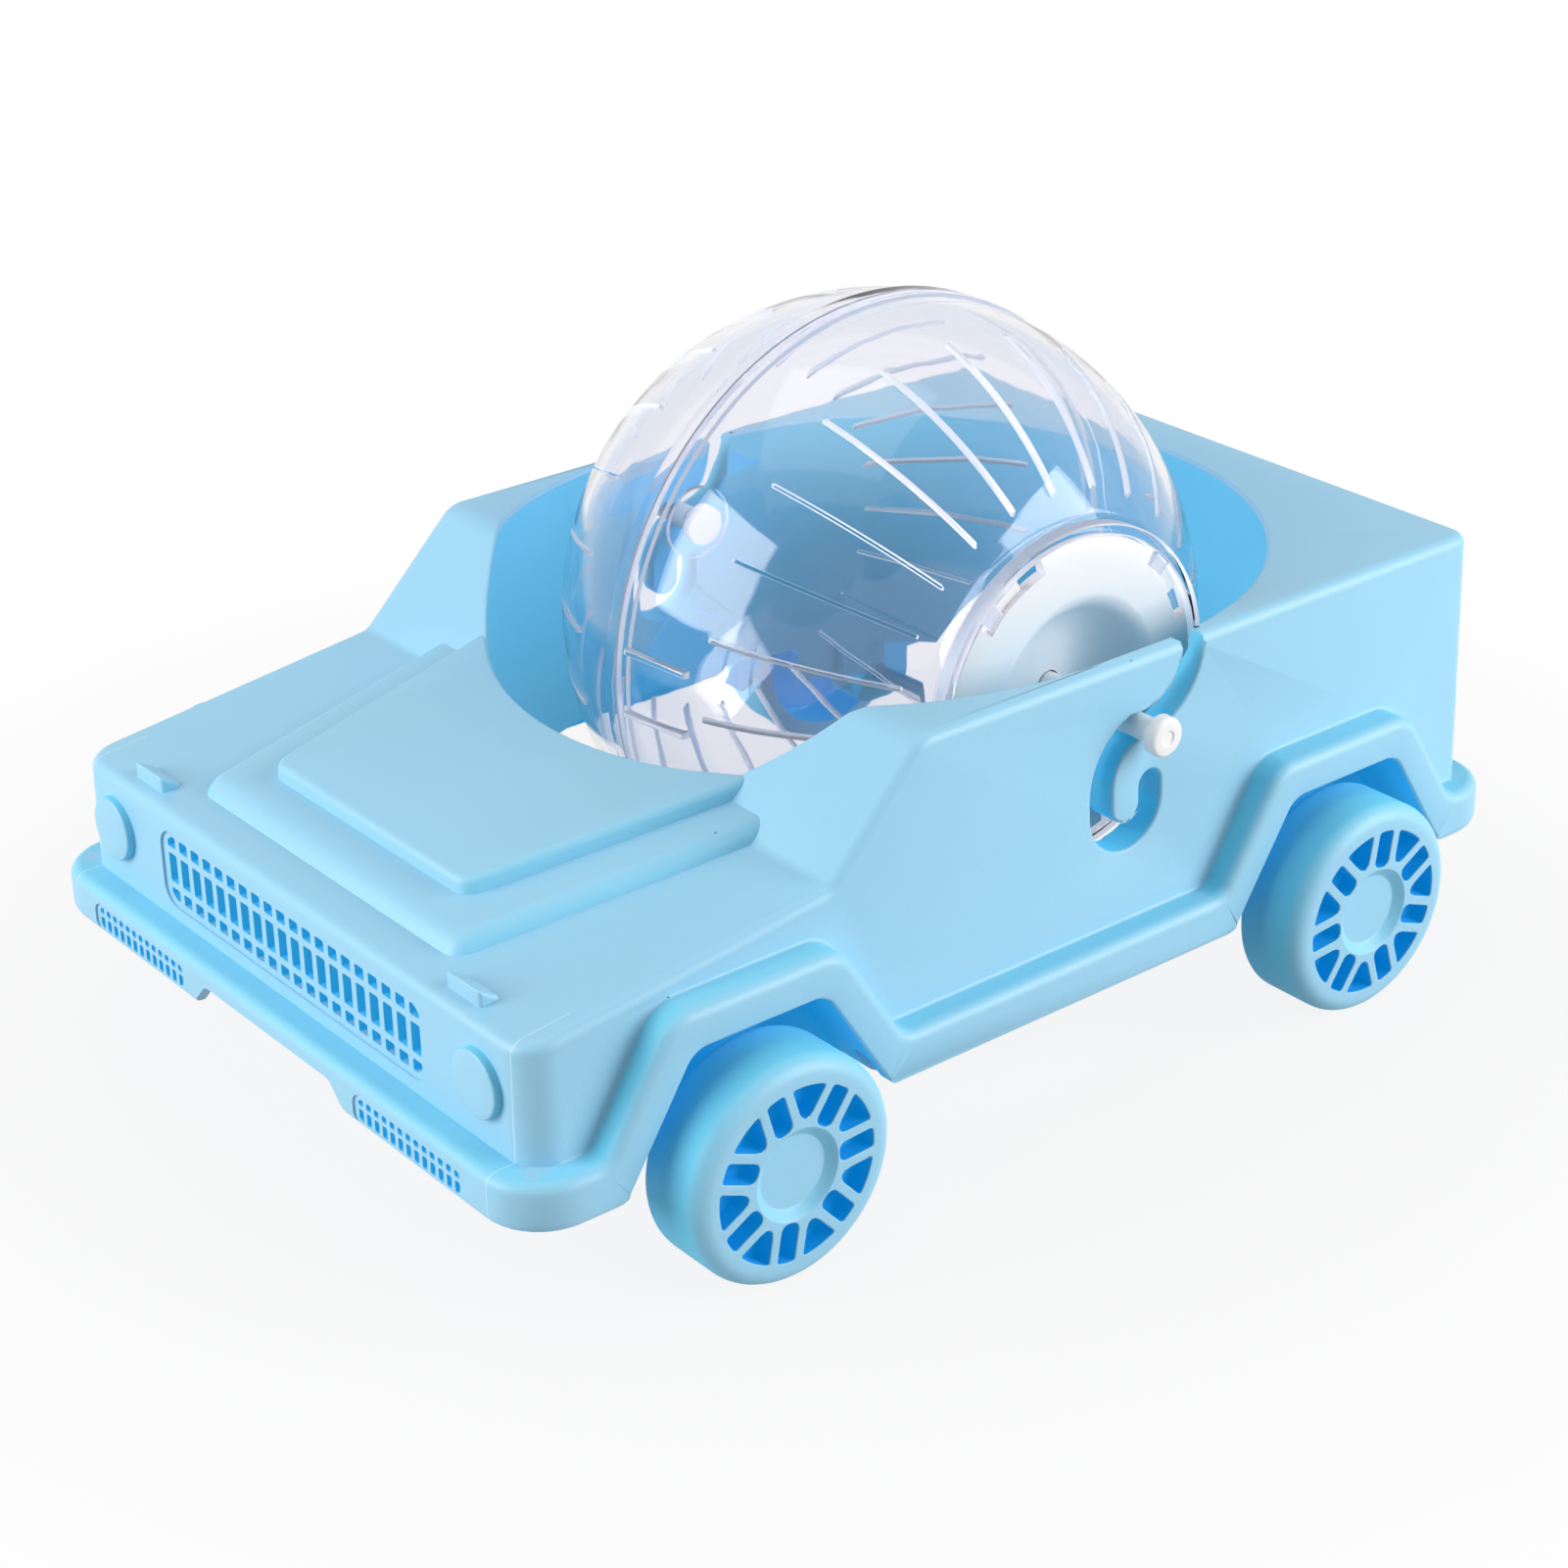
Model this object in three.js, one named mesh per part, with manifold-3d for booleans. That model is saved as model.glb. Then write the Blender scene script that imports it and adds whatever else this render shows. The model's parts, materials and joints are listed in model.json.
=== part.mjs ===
import * as THREE from 'three';
import { mergeVertices } from 'three/addons/utils/BufferGeometryUtils.js';
import Module from 'manifold-3d';

const wasm = await Module();
wasm.setup();

// Millimetres. x runs across the car, y along it with the front at -y, z up from the floor.

// Exercise ball
const ballRadius = 60;
const ballWall = 1.8;
const ballGround = 7.9;
const seamX = -2.1;
const collarWidth = 3.5;
const collarRise = 0.5;
const slitCount = 24;
const slitWidth = 1.4;
const slitStart = 38;
const slitEnd = 72;
const leftSlitPhase = 0;
const rightSlitPhase = 10;
const latchAngles = [172, 183.4];
const latchOffPole = 82;
const latchLength = 15;
const latchHeight = 2.2;
const latchWidth = 1.2;

// Bayonet door and the ring it locks in
const doorRadius = 29.5;
const doorThick = 2.2;
const dishRadius = 18;
const dishDepth = 6.4;
const ringWall = 2.1;
const ringRise = 2.85;
const lugCount = 4;
const lugAngle = 8;
const lugReach = 2.9;
const lugThick = 1.2;
const notchPhase = 112;
const twistAngle = 22;

// Pegs and their curved slot
const pegRadius = 2.3;
const pegHeadRadius = 3.75;
const pegHeadLength = 5;
const pegHeadGap = 1.6;
const liftRadius = 12.7;
const tongueRadius = 11.8;
const tongueShift = 2.35;
const tongueDrop = 10.9;
const hookRadius = 5.9;
const hookDrop = 3.4;
const hookArm = 2.6;

// Car body
const noseLength = 57;
const rearDeck = 12.3;
const deckRise = 13.3;
const groundClearance = 21.9;
const windshieldSetback = 5.4;
const windshieldRun = 20.4;
const windshieldFootZ = 60.3;
const hoodFrontZ = 52.7;
const bodyWall = 2.6;
const rimWall = 3.05;
const draft = 0.0344;
const edgeRadius = 3;
const profileRadius = 5;
const footRadius = 2;
const cornerRadius = 6.5;
const rearCornerRadius = 4;
const wellGap = 7;
const wellFrontGap = 16.2;
const wellDraft = 0.023;
const wellLip = 1.8;
const linerBottom = 29;
const webLength = 64;

// Bumper, sill and arch band
const bandProud = 5.6;
const bandTop = 31.2;
const bandWidth = 7.2;
const bumperProud = 5.65;
const bumperCorner = 11.5;
const bandEdge = 1.8;
const bandInsideCorner = 4;
const bandArchCorner = 6;
const bumperTopEdge = 3;
const archLegAngle = 32.3;
const archClearance = 3.9;
const archTopRadius = 4;
const archFootRadius = 6;
const bumperGapHalf = 20.4;
const bumperGapFlare = 5;
const bumperGapRise = 5.5;
const bumperGapCorner = 2;

// Front details
const grilleColumns = 20;
const grillePitch = 4.12;
const grilleBar = 1.42;
const grilleBottom = 34.9;
const grilleRows = [2.3, 5.8, 2.3];
const grilleRowBar = 1.3;
const borderMargin = 1.2;
const borderDepth = 0.5;
const borderRadius = 4;
const lampColumns = 13;
const lampPitch = 2.36;
const lampBar = 0.95;
const lampInnerX = 28.5;
const lampBottom = 23.4;
const lampRows = [2.3, 1.3];
const lampRowBar = 0.7;
const headlightInset = 11.65;
const headlightZ = 42.4;
const headlightRadius = 6.1;
const headlightProud = 1.9;
const tabInset = 19.85;
const tabLength = 9.6;
const tabDepth = 3.7;
const tabHeight = 3.2;
const tabSetback = 3;
const panelSetback = 7.4;
const panelSideFront = 29.6;
const panelSideRear = 16.5;
const panelStep = 10;
const panelRise = 3;
const panelSlope = 1.4;
const panelFrontSlope = 2.2;
const panelCorner = 3;

// Wheels and axles
const wheelRadius = 20.8;
const wheelWidth = 14.5;
const wheelProud = 8.65;
const frontOverhang = 42.2;
const rearOverhang = 39.75;
const treadWall = 3.3;
const hubTubeWall = 2.4;
const shoulder = 3.3;
const hubRadius = 7.2;
const hubRecess = 1.5;
const windowInner = 8.9;
const windowOuter = 16.2;
const windowSlot = 3.7;
const spokeWidth = 1.8;
const windowCount = 7;
const windowTipRadius = 1.6;
const slotEndRadius = 1.4;
const windowDepth = 3.4;
const windowFloor = 1.6;
const axleRadius = 2;
const axleInset = 4.5;
const postInset = 11.55;
const postWidth = 7;
const postLength = 16;
const postDrop = 6;
const postFootRadius = 5;

// Facets round each turned piece; the ball has one for each slit
const doorFacets = 24;
const wheelFacets = 20;
const pinFacets = 14;
const headlightFacets = 20;
const leftArcFacets = 4;
const rightArcFacets = 5;

// Clearances
const runGap = 0.3;
const slotGap = 0.35;
const fixGap = 0.2;
const liftGap = 1.3;
const overlap = 1;

// Derived sizes
const wellRadius = ballRadius + wellGap;
const deckHalf = wellRadius + rimWall;
const wellLength = wellFrontGap + 2 * ballRadius + liftRadius + collarRise + liftGap;
const halfLength = (noseLength + wellLength + rearDeck) / 2;
const wellFrontY = -halfLength + noseLength + wellRadius;
const wellRearY = halfLength - rearDeck - wellRadius;
const ballAxisY = -halfLength + noseLength + wellFrontGap + ballRadius;
const ballAxisZ = ballRadius + ballGround;
const deckHeight = ballAxisZ + deckRise;
const windshieldFootY = -halfLength + noseLength + windshieldSetback;
const windshieldTopY = windshieldFootY + windshieldRun;
const frontAxleY = -halfLength + frontOverhang;
const rearAxleY = halfLength - rearOverhang;
const headlightX = deckHalf - headlightInset;
const tabX = deckHalf - tabInset;
const postX = deckHalf - postInset;
const bandHalf = deckHalf + draft * (deckHeight - bandTop) + bandProud;
const bumperY = halfLength + bumperProud;
const hoodSlope = (windshieldFootZ - hoodFrontZ) / (windshieldFootY + halfLength);
const wheelFaceX = bandHalf + wheelProud;
const axleEndX = wheelFaceX - axleInset;
const slotHalf = pegRadius + slotGap;
const ringInner = doorRadius + runGap;
const ringOuter = ringInner + ringWall;
const ringTop = Math.sqrt(ballRadius ** 2 - ringOuter ** 2) + ringRise;
const doorFace = ringTop - runGap * 2;
const doorBack = doorFace - doorThick;
const pocketFloor = doorFace - doorThick / 2;
const dishFloor = doorFace - dishDepth;
const boreRadius = pegRadius + runGap;

const radians = THREE.MathUtils.degToRad;

function bodyHalf(z) {
  return deckHalf + draft * (deckHeight - z);
}

function hoodZ(y) {
  return hoodFrontZ + hoodSlope * (y + halfLength);
}

// Closed triangle solid from a drawn geometry, wound outward.
function solid(geometry) {
  const bare = geometry.clone();
  bare.deleteAttribute('normal');
  bare.deleteAttribute('uv');
  const merged = mergeVertices(bare, 1e-4);
  const position = merged.attributes.position.array;
  const index = merged.index.array;
  const faces = [];
  const a = new THREE.Vector3();
  const b = new THREE.Vector3();
  const c = new THREE.Vector3();
  let volume = 0;
  for (let i = 0; i < index.length; i += 3) {
    const [p, q, r] = [index[i], index[i + 1], index[i + 2]];
    if (p === q || q === r || r === p) continue;
    a.fromArray(position, p * 3);
    b.fromArray(position, q * 3);
    c.fromArray(position, r * 3);
    volume += a.dot(b.cross(c));
    faces.push(p, q, r);
  }
  if (volume < 0) faces.reverse();
  const vertProperties = new Float32Array(position);
  const triVerts = new Uint32Array(faces);
  return new wasm.Manifold(new wasm.Mesh({ numProp: 3, vertProperties, triVerts }));
}

function extrude(shapes, depth, segments, edge) {
  const bevel = edge > 0;
  const settings = { depth: depth - 2 * edge, curveSegments: segments, bevelEnabled: bevel };
  if (bevel) {
    settings.bevelThickness = edge;
    settings.bevelSize = edge;
    settings.bevelOffset = -edge;
    settings.bevelSegments = 2;
  }
  const geometry = new THREE.ExtrudeGeometry(shapes, settings);
  geometry.translate(0, 0, edge);
  return geometry;
}

// Prisms: side views (y, z) run along x, front views (x, z) along y, plans (x, y) along z.
function alongX(shapes, from, to, segments = 5, edge = 0) {
  const geometry = extrude(shapes, to - from, segments, edge);
  const turn = new THREE.Matrix4().makeBasis(
    new THREE.Vector3(0, 1, 0), new THREE.Vector3(0, 0, 1), new THREE.Vector3(1, 0, 0));
  return geometry.applyMatrix4(turn).translate(from, 0, 0);
}

function alongY(shapes, from, to, segments = 4) {
  const geometry = extrude(shapes, to - from, segments, 0);
  return geometry.rotateX(Math.PI / 2).translate(0, to, 0);
}

function box(x0, x1, y0, y1, z0, z1) {
  const geometry = new THREE.BoxGeometry(x1 - x0, y1 - y0, z1 - z0);
  return geometry.translate((x0 + x1) / 2, (y0 + y1) / 2, (z0 + z1) / 2);
}

// Body of revolution about x from a profile of [radius, x] points.
function turned(profile, segments, start = 0) {
  const points = profile.map(([r, x]) => new THREE.Vector2(r, x));
  return new THREE.LatheGeometry(points, segments, start).rotateZ(-Math.PI / 2);
}

// Outline with each corner rounded by its own radius.
function outline(corners) {
  const shape = new THREE.Shape();
  const count = corners.length;
  corners.forEach(([u, v, radius = 0], i) => {
    const corner = new THREE.Vector2(u, v);
    const before = corners[(i + count - 1) % count];
    const after = corners[(i + 1) % count];
    const back = new THREE.Vector2(before[0], before[1]).sub(corner).normalize();
    const ahead = new THREE.Vector2(after[0], after[1]).sub(corner).normalize();
    const half = Math.acos(THREE.MathUtils.clamp(back.dot(ahead), -1, 1)) / 2;
    const run = radius / Math.tan(half);
    const start = corner.clone().addScaledVector(back, run);
    const end = corner.clone().addScaledVector(ahead, run);
    if (i === 0) shape.moveTo(start.x, start.y);
    else shape.lineTo(start.x, start.y);
    if (radius > 0) shape.quadraticCurveTo(corner.x, corner.y, end.x, end.y);
  });
  shape.closePath();
  return shape;
}

function rectangle(u0, u1, v0, v1, radius = 0) {
  return outline([[u0, v0, radius], [u1, v0, radius], [u1, v1, radius], [u0, v1, radius]]);
}

// Polygon moved inward by a wall thickness; corners run counter-clockwise.
function inset(corners, wall) {
  const count = corners.length;
  const edges = corners.map(([u, v], i) => {
    const [nu, nv] = corners[(i + 1) % count];
    const along = new THREE.Vector2(nu - u, nv - v).normalize();
    return { along, from: new THREE.Vector2(u - along.y * wall, v + along.x * wall) };
  });
  return edges.map((edge, i) => {
    const last = edges[(i + count - 1) % count];
    const reach = edge.from.clone().sub(last.from).cross(edge.along) / last.along.cross(edge.along);
    const point = last.from.clone().addScaledVector(last.along, reach);
    return [point.x, point.y];
  });
}

// Straight-sided solid between outlines of equal point count at rising heights.
function loft(sections) {
  const count = sections[0].points.length;
  const positions = [];
  const index = [];
  sections.forEach(({ points, z }) => points.forEach((p) => positions.push(p.x, p.y, z)));
  for (let s = 0; s + 1 < sections.length; s += 1) {
    for (let i = 0; i < count; i += 1) {
      const j = (i + 1) % count;
      const low = s * count;
      const high = low + count;
      index.push(low + i, low + j, high + j, low + i, high + j, high + i);
    }
  }
  const top = (sections.length - 1) * count;
  THREE.ShapeUtils.triangulateShape(sections[0].points, []).forEach(([p, q, r]) => {
    index.push(r, q, p);
    index.push(top + p, top + q, top + r);
  });
  const geometry = new THREE.BufferGeometry();
  geometry.setAttribute('position', new THREE.Float32BufferAttribute(positions, 3));
  geometry.setIndex(index);
  return geometry;
}

// Plan of a rounded rectangle, front corners at -y.
function planPoints(halfX, halfY, front, rear = front) {
  return outline([
    [-halfX, -halfY, front],
    [halfX, -halfY, front],
    [halfX, halfY, rear],
    [-halfX, halfY, rear],
  ]).getPoints(4).slice(0, -1);
}

function stadiumPoints(radius) {
  const shape = new THREE.Shape();
  shape.absarc(0, wellRearY, radius, 0, Math.PI, false);
  shape.absarc(0, wellFrontY, radius, Math.PI, 2 * Math.PI, false);
  return shape.getPoints(8).slice(0, -1);
}

function sector(inner, outer, from, to) {
  const shape = new THREE.Shape();
  shape.absarc(0, 0, outer, radians(from), radians(to), false);
  shape.absarc(0, 0, inner, radians(to), radians(from), true);
  shape.closePath();
  return shape;
}

// Car body: drafted hood-and-deck hull with rounded edges.
const hullFloor = groundClearance - postDrop * 3;
const hullCorners = [
  [-halfLength, hullFloor],
  [halfLength, hullFloor],
  [halfLength, deckHeight],
  [windshieldTopY, deckHeight],
  [windshieldFootY, windshieldFootZ],
  [-halfLength, hoodFrontZ],
];
const hullRadii = [0, 0, profileRadius, profileRadius, footRadius, profileRadius];
const hullOutline = outline(hullCorners.map(([y, z], i) => [y, z, hullRadii[i]]));
const hullGeometry = alongX(hullOutline, -deckHalf, deckHalf, 3, edgeRadius);
const hullPoints = hullGeometry.attributes.position;
for (let i = 0; i < hullPoints.count; i += 1) {
  hullPoints.setX(i, hullPoints.getX(i) * bodyHalf(hullPoints.getZ(i)) / deckHalf);
}
const hullPlan = planPoints(bodyHalf(hullFloor) + overlap, halfLength, cornerRadius, rearCornerRadius);
const hullTall = solid(hullGeometry).intersect(solid(loft([
  { points: hullPlan, z: hullFloor - overlap },
  { points: hullPlan, z: deckHeight + overlap },
])));
const floorTrim = solid(box(
  -bandHalf, bandHalf, -bumperY, bumperY, hullFloor - overlap, groundClearance));

// Two stacked hood panels with sloped sides, lying on the hood.
function hoodPanel(step, base) {
  const frontHalf = deckHalf - panelSideFront - step;
  const rearHalf = deckHalf - panelSideRear - step;
  const frontY = -halfLength + panelSetback + step;
  const rearY = windshieldTopY;
  const frontRun = (frontY + halfLength) * Math.hypot(1, hoodSlope);
  const rearRun = (rearY + halfLength) * Math.hypot(1, hoodSlope);
  function level(shrink, rise) {
    const corners = [
      [-frontHalf + panelSlope * shrink, frontRun + panelFrontSlope * shrink, panelCorner],
      [frontHalf - panelSlope * shrink, frontRun + panelFrontSlope * shrink, panelCorner],
      [rearHalf - panelSlope * shrink, rearRun],
      [-rearHalf + panelSlope * shrink, rearRun],
    ];
    return { points: outline(corners).getPoints(3).slice(0, -1), z: base + rise };
  }
  const geometry = loft([
    level(0, -overlap),
    level(0, panelRise * 0.25),
    level(0.35, panelRise * 0.8),
    level(1, panelRise),
  ]);
  return solid(geometry.rotateX(Math.atan(hoodSlope)).translate(0, -halfLength, hoodFrontZ));
}
const lowerPanel = hoodPanel(0, 0);
const upperPanel = hoodPanel(panelStep, panelRise);

// Raised band that runs as bumper, sill and wheel-arch trim.
function archCorner(axleY, side, distance, z) {
  const leg = radians(archLegAngle);
  return axleY + side * (distance - (z - wheelRadius) * Math.sin(leg)) / Math.cos(leg);
}
const archRadius = wheelRadius + archClearance;
const bandRadius = archRadius + bandWidth;
const archTop = wheelRadius + archRadius;
const bandArchTop = wheelRadius + bandRadius;
function bandArch(axleY) {
  return [
    [archCorner(axleY, 1, bandRadius, bandTop), bandTop, bandInsideCorner],
    [archCorner(axleY, 1, bandRadius, bandArchTop), bandArchTop, bandArchCorner],
    [archCorner(axleY, -1, bandRadius, bandArchTop), bandArchTop, bandArchCorner],
    [archCorner(axleY, -1, bandRadius, bandTop), bandTop, bandInsideCorner],
  ];
}
const bandOutline = outline([
  [-bumperY, groundClearance - bandEdge * 2],
  [bumperY, groundClearance - bandEdge * 2],
  [bumperY, bandTop, bumperTopEdge],
  ...bandArch(rearAxleY),
  ...bandArch(frontAxleY),
  [-bumperY, bandTop, bumperTopEdge],
]);
const bandPlan = planPoints(bandHalf, bumperY, bumperCorner);
const band = solid(alongX(bandOutline, -bandHalf, bandHalf, 3, bandEdge)).intersect(solid(loft([
  { points: bandPlan, z: groundClearance },
  { points: bandPlan, z: deckHeight },
])));

// Hollow underside, leaving the well liner and the side webs that carry the slots.
const cavityCorners = inset(hullCorners, bodyWall);
function innerPlan(halfX, halfY, front, rear = front) {
  return planPoints(halfX - bodyWall, halfY - bodyWall, front - bodyWall, rear - bodyWall);
}
const cavityHull = solid(alongX(outline(cavityCorners), -bandHalf, bandHalf)).intersect(solid(loft([
  { points: innerPlan(bodyHalf(hullFloor), halfLength, cornerRadius, rearCornerRadius), z: hullFloor },
  { points: innerPlan(deckHalf, halfLength, cornerRadius, rearCornerRadius), z: deckHeight },
])));
const skirtHollow = solid(loft([
  { points: innerPlan(bandHalf, bumperY, bumperCorner), z: groundClearance - overlap },
  { points: innerPlan(bandHalf, bumperY, bumperCorner), z: bandTop - bodyWall },
]));
function wellAt(z) {
  return wellRadius - wellDraft * (deckHeight - z);
}
const liner = solid(loft([
  { points: stadiumPoints(wellAt(linerBottom) + bodyWall), z: linerBottom },
  { points: stadiumPoints(wellRadius + bodyWall), z: deckHeight },
]));
const webMiddle = (wellFrontY + wellRearY) / 2;
const webs = solid(box(
  -bandHalf, bandHalf, webMiddle - webLength / 2, webMiddle + webLength / 2, linerBottom, deckHeight));
const hollow = cavityHull.add(skirtHollow).subtract(liner).subtract(webs);
const well = solid(loft([
  { points: stadiumPoints(wellAt(groundClearance)), z: groundClearance - overlap },
  { points: stadiumPoints(wellAt(deckHeight - wellLip)), z: deckHeight - wellLip },
  { points: stadiumPoints(wellRadius + wellLip * 0.3), z: deckHeight - wellLip * 0.3 },
  { points: stadiumPoints(wellRadius + wellLip), z: deckHeight },
  { points: stadiumPoints(wellRadius + wellLip), z: deckHeight + overlap },
]));

// Wheel arch openings through the side walls.
function archOpening(axleY) {
  const foot = archCorner(axleY, 1, archRadius, groundClearance) - axleY;
  const flare = foot + archFootRadius * 2;
  const below = groundClearance - overlap;
  const shape = outline([
    [axleY - flare, below],
    [axleY + flare, below],
    [axleY + flare, groundClearance],
    [axleY + foot, groundClearance, archFootRadius],
    [archCorner(axleY, 1, archRadius, archTop), archTop, archTopRadius],
    [archCorner(axleY, -1, archRadius, archTop), archTop, archTopRadius],
    [axleY - foot, groundClearance, archFootRadius],
    [axleY - flare, groundClearance],
  ]);
  const left = solid(alongX(shape, postX + postWidth / 2 + overlap, wheelFaceX, 3));
  const right = solid(alongX(shape, -wheelFaceX, -postX - postWidth / 2 - overlap, 3));
  return left.add(right);
}

// Curved peg slot: down the mouth, forward round the entry curve to the seat, then the hook.
const liftZ = ballAxisZ + liftRadius;
const mouthY = ballAxisY + liftRadius;
const tongueY = ballAxisY + tongueShift;
const tongueZ = ballAxisZ - tongueDrop;
const hookY = tongueY - tongueRadius + hookRadius;
const hookZ = tongueZ - hookDrop;
const armZ = hookZ + hookArm;
const seatFloor = ballAxisZ - slotHalf;
const seatRoof = ballAxisZ + slotHalf;
const tongueTip = Math.PI - Math.asin((seatFloor - tongueZ) / (tongueRadius - slotHalf));
const roofTip = Math.PI - Math.asin((seatRoof - tongueZ) / (tongueRadius + slotHalf));
const slot = new THREE.Shape();
slot.moveTo(mouthY + slotHalf, deckHeight + overlap);
slot.lineTo(mouthY + slotHalf, liftZ);
slot.absarc(ballAxisY, liftZ, liftRadius + slotHalf, 0, -Math.PI / 2, true);
slot.absarc(tongueY, tongueZ, tongueRadius - slotHalf, tongueTip, Math.PI, false);
slot.absarc(hookY, hookZ, hookRadius - slotHalf, Math.PI, 2 * Math.PI, false);
slot.absarc(tongueY, armZ, slotHalf, Math.PI, 0, true);
slot.absarc(hookY, hookZ, hookRadius + slotHalf, 0, -Math.PI, true);
slot.absarc(tongueY, tongueZ, tongueRadius + slotHalf, Math.PI, roofTip, true);
slot.absarc(ballAxisY, liftZ, liftRadius - slotHalf, -Math.PI / 2, 0, false);
slot.lineTo(mouthY - slotHalf, deckHeight + overlap);
slot.closePath();
const slots = solid(alongX(slot, -bandHalf, bandHalf, 3));

// Grille and lamp lattices.
function lattice(columns, pitch, bar, firstX, rows, rowBar, bottom) {
  const holes = [];
  let low = bottom;
  rows.forEach((height) => {
    for (let i = 0; i < columns; i += 1) {
      const left = firstX + i * pitch + bar / 2;
      holes.push(rectangle(left, left + pitch - bar, low, low + height));
    }
    low += height + rowBar;
  });
  return holes;
}
function total(rows, bar) {
  return rows.reduce((sum, height) => sum + height, 0) + bar * (rows.length - 1);
}
const grilleHalf = grilleColumns * grillePitch / 2;
const grilleTop = grilleBottom + total(grilleRows, grilleRowBar);
const grilleHoles = solid(alongY(
  lattice(grilleColumns, grillePitch, grilleBar, -grilleHalf, grilleRows, grilleRowBar, grilleBottom),
  -halfLength - overlap, -halfLength + bodyWall + overlap));
const grilleBorder = solid(alongY(
  rectangle(-grilleHalf - borderMargin, grilleHalf + borderMargin,
    grilleBottom - borderMargin, grilleTop + borderMargin, borderRadius),
  -halfLength - overlap, -halfLength + borderDepth));
const lampWidth = lampColumns * lampPitch;
const lampHoles = [lampInnerX, -lampInnerX - lampWidth].map((firstX) => solid(alongY(
  lattice(lampColumns, lampPitch, lampBar, firstX, lampRows, lampRowBar, lampBottom),
  -bumperY - overlap, -bumperY + bodyWall + overlap)));
const bumperGap = solid(alongY(outline([
  [-bumperGapHalf - bumperGapFlare, groundClearance - overlap],
  [bumperGapHalf + bumperGapFlare, groundClearance - overlap],
  [bumperGapHalf + bumperGapFlare, groundClearance],
  [bumperGapHalf, groundClearance + bumperGapRise, bumperGapCorner],
  [-bumperGapHalf, groundClearance + bumperGapRise, bumperGapCorner],
  [-bumperGapHalf - bumperGapFlare, groundClearance],
]), -bumperY - overlap, -bumperY + bodyWall + overlap));

function headlight(side) {
  const profile = [
    [0, -headlightProud],
    [headlightRadius * 0.55, -headlightProud * 0.93],
    [headlightRadius * 0.88, -headlightProud * 0.68],
    [headlightRadius, -headlightProud * 0.3],
    [headlightRadius, overlap],
    [0, overlap],
  ];
  const points = profile.map(([r, y]) => new THREE.Vector2(r, y));
  const dome = new THREE.LatheGeometry(points, headlightFacets);
  return solid(dome.translate(side * headlightX, -halfLength, headlightZ));
}

function hoodTab(side) {
  const front = -halfLength + tabSetback;
  const rear = front + tabDepth;
  const shape = outline([
    [front, hoodZ(front) - overlap],
    [rear, hoodZ(rear) - overlap],
    [rear, hoodZ(rear)],
    [front, hoodZ(front) + tabHeight],
  ]);
  const middle = side * tabX;
  return solid(alongX(shape, middle - tabLength / 2, middle + tabLength / 2));
}

// Axle posts hang from the hood and deck inside the shell.
function axlePosts(axleY) {
  const foot = wheelRadius - postDrop;
  const bore = new THREE.Path();
  bore.absarc(axleY, wheelRadius, axleRadius + runGap, 0, 2 * Math.PI, false);
  const shape = outline([
    [axleY - postLength / 2, foot, postFootRadius],
    [axleY + postLength / 2, foot, postFootRadius],
    [axleY + postLength / 2, deckHeight],
    [axleY - postLength / 2, deckHeight],
  ]);
  shape.holes.push(bore);
  const left = solid(alongX(shape, postX - postWidth / 2, postX + postWidth / 2));
  const right = solid(alongX(shape, -postX - postWidth / 2, -postX + postWidth / 2));
  return left.add(right).intersect(hullTall);
}

let body = hullTall.subtract(floorTrim).add(lowerPanel).add(upperPanel).add(band);
for (const side of [-1, 1]) {
  body = body.add(headlight(side)).add(hoodTab(side));
}
body = body.subtract(hollow);
for (const axleY of [frontAxleY, rearAxleY]) {
  body = body.subtract(archOpening(axleY)).add(axlePosts(axleY));
}
for (const cut of [well, slots, grilleBorder, grilleHoles, ...lampHoles, bumperGap]) {
  body = body.subtract(cut);
}

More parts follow.
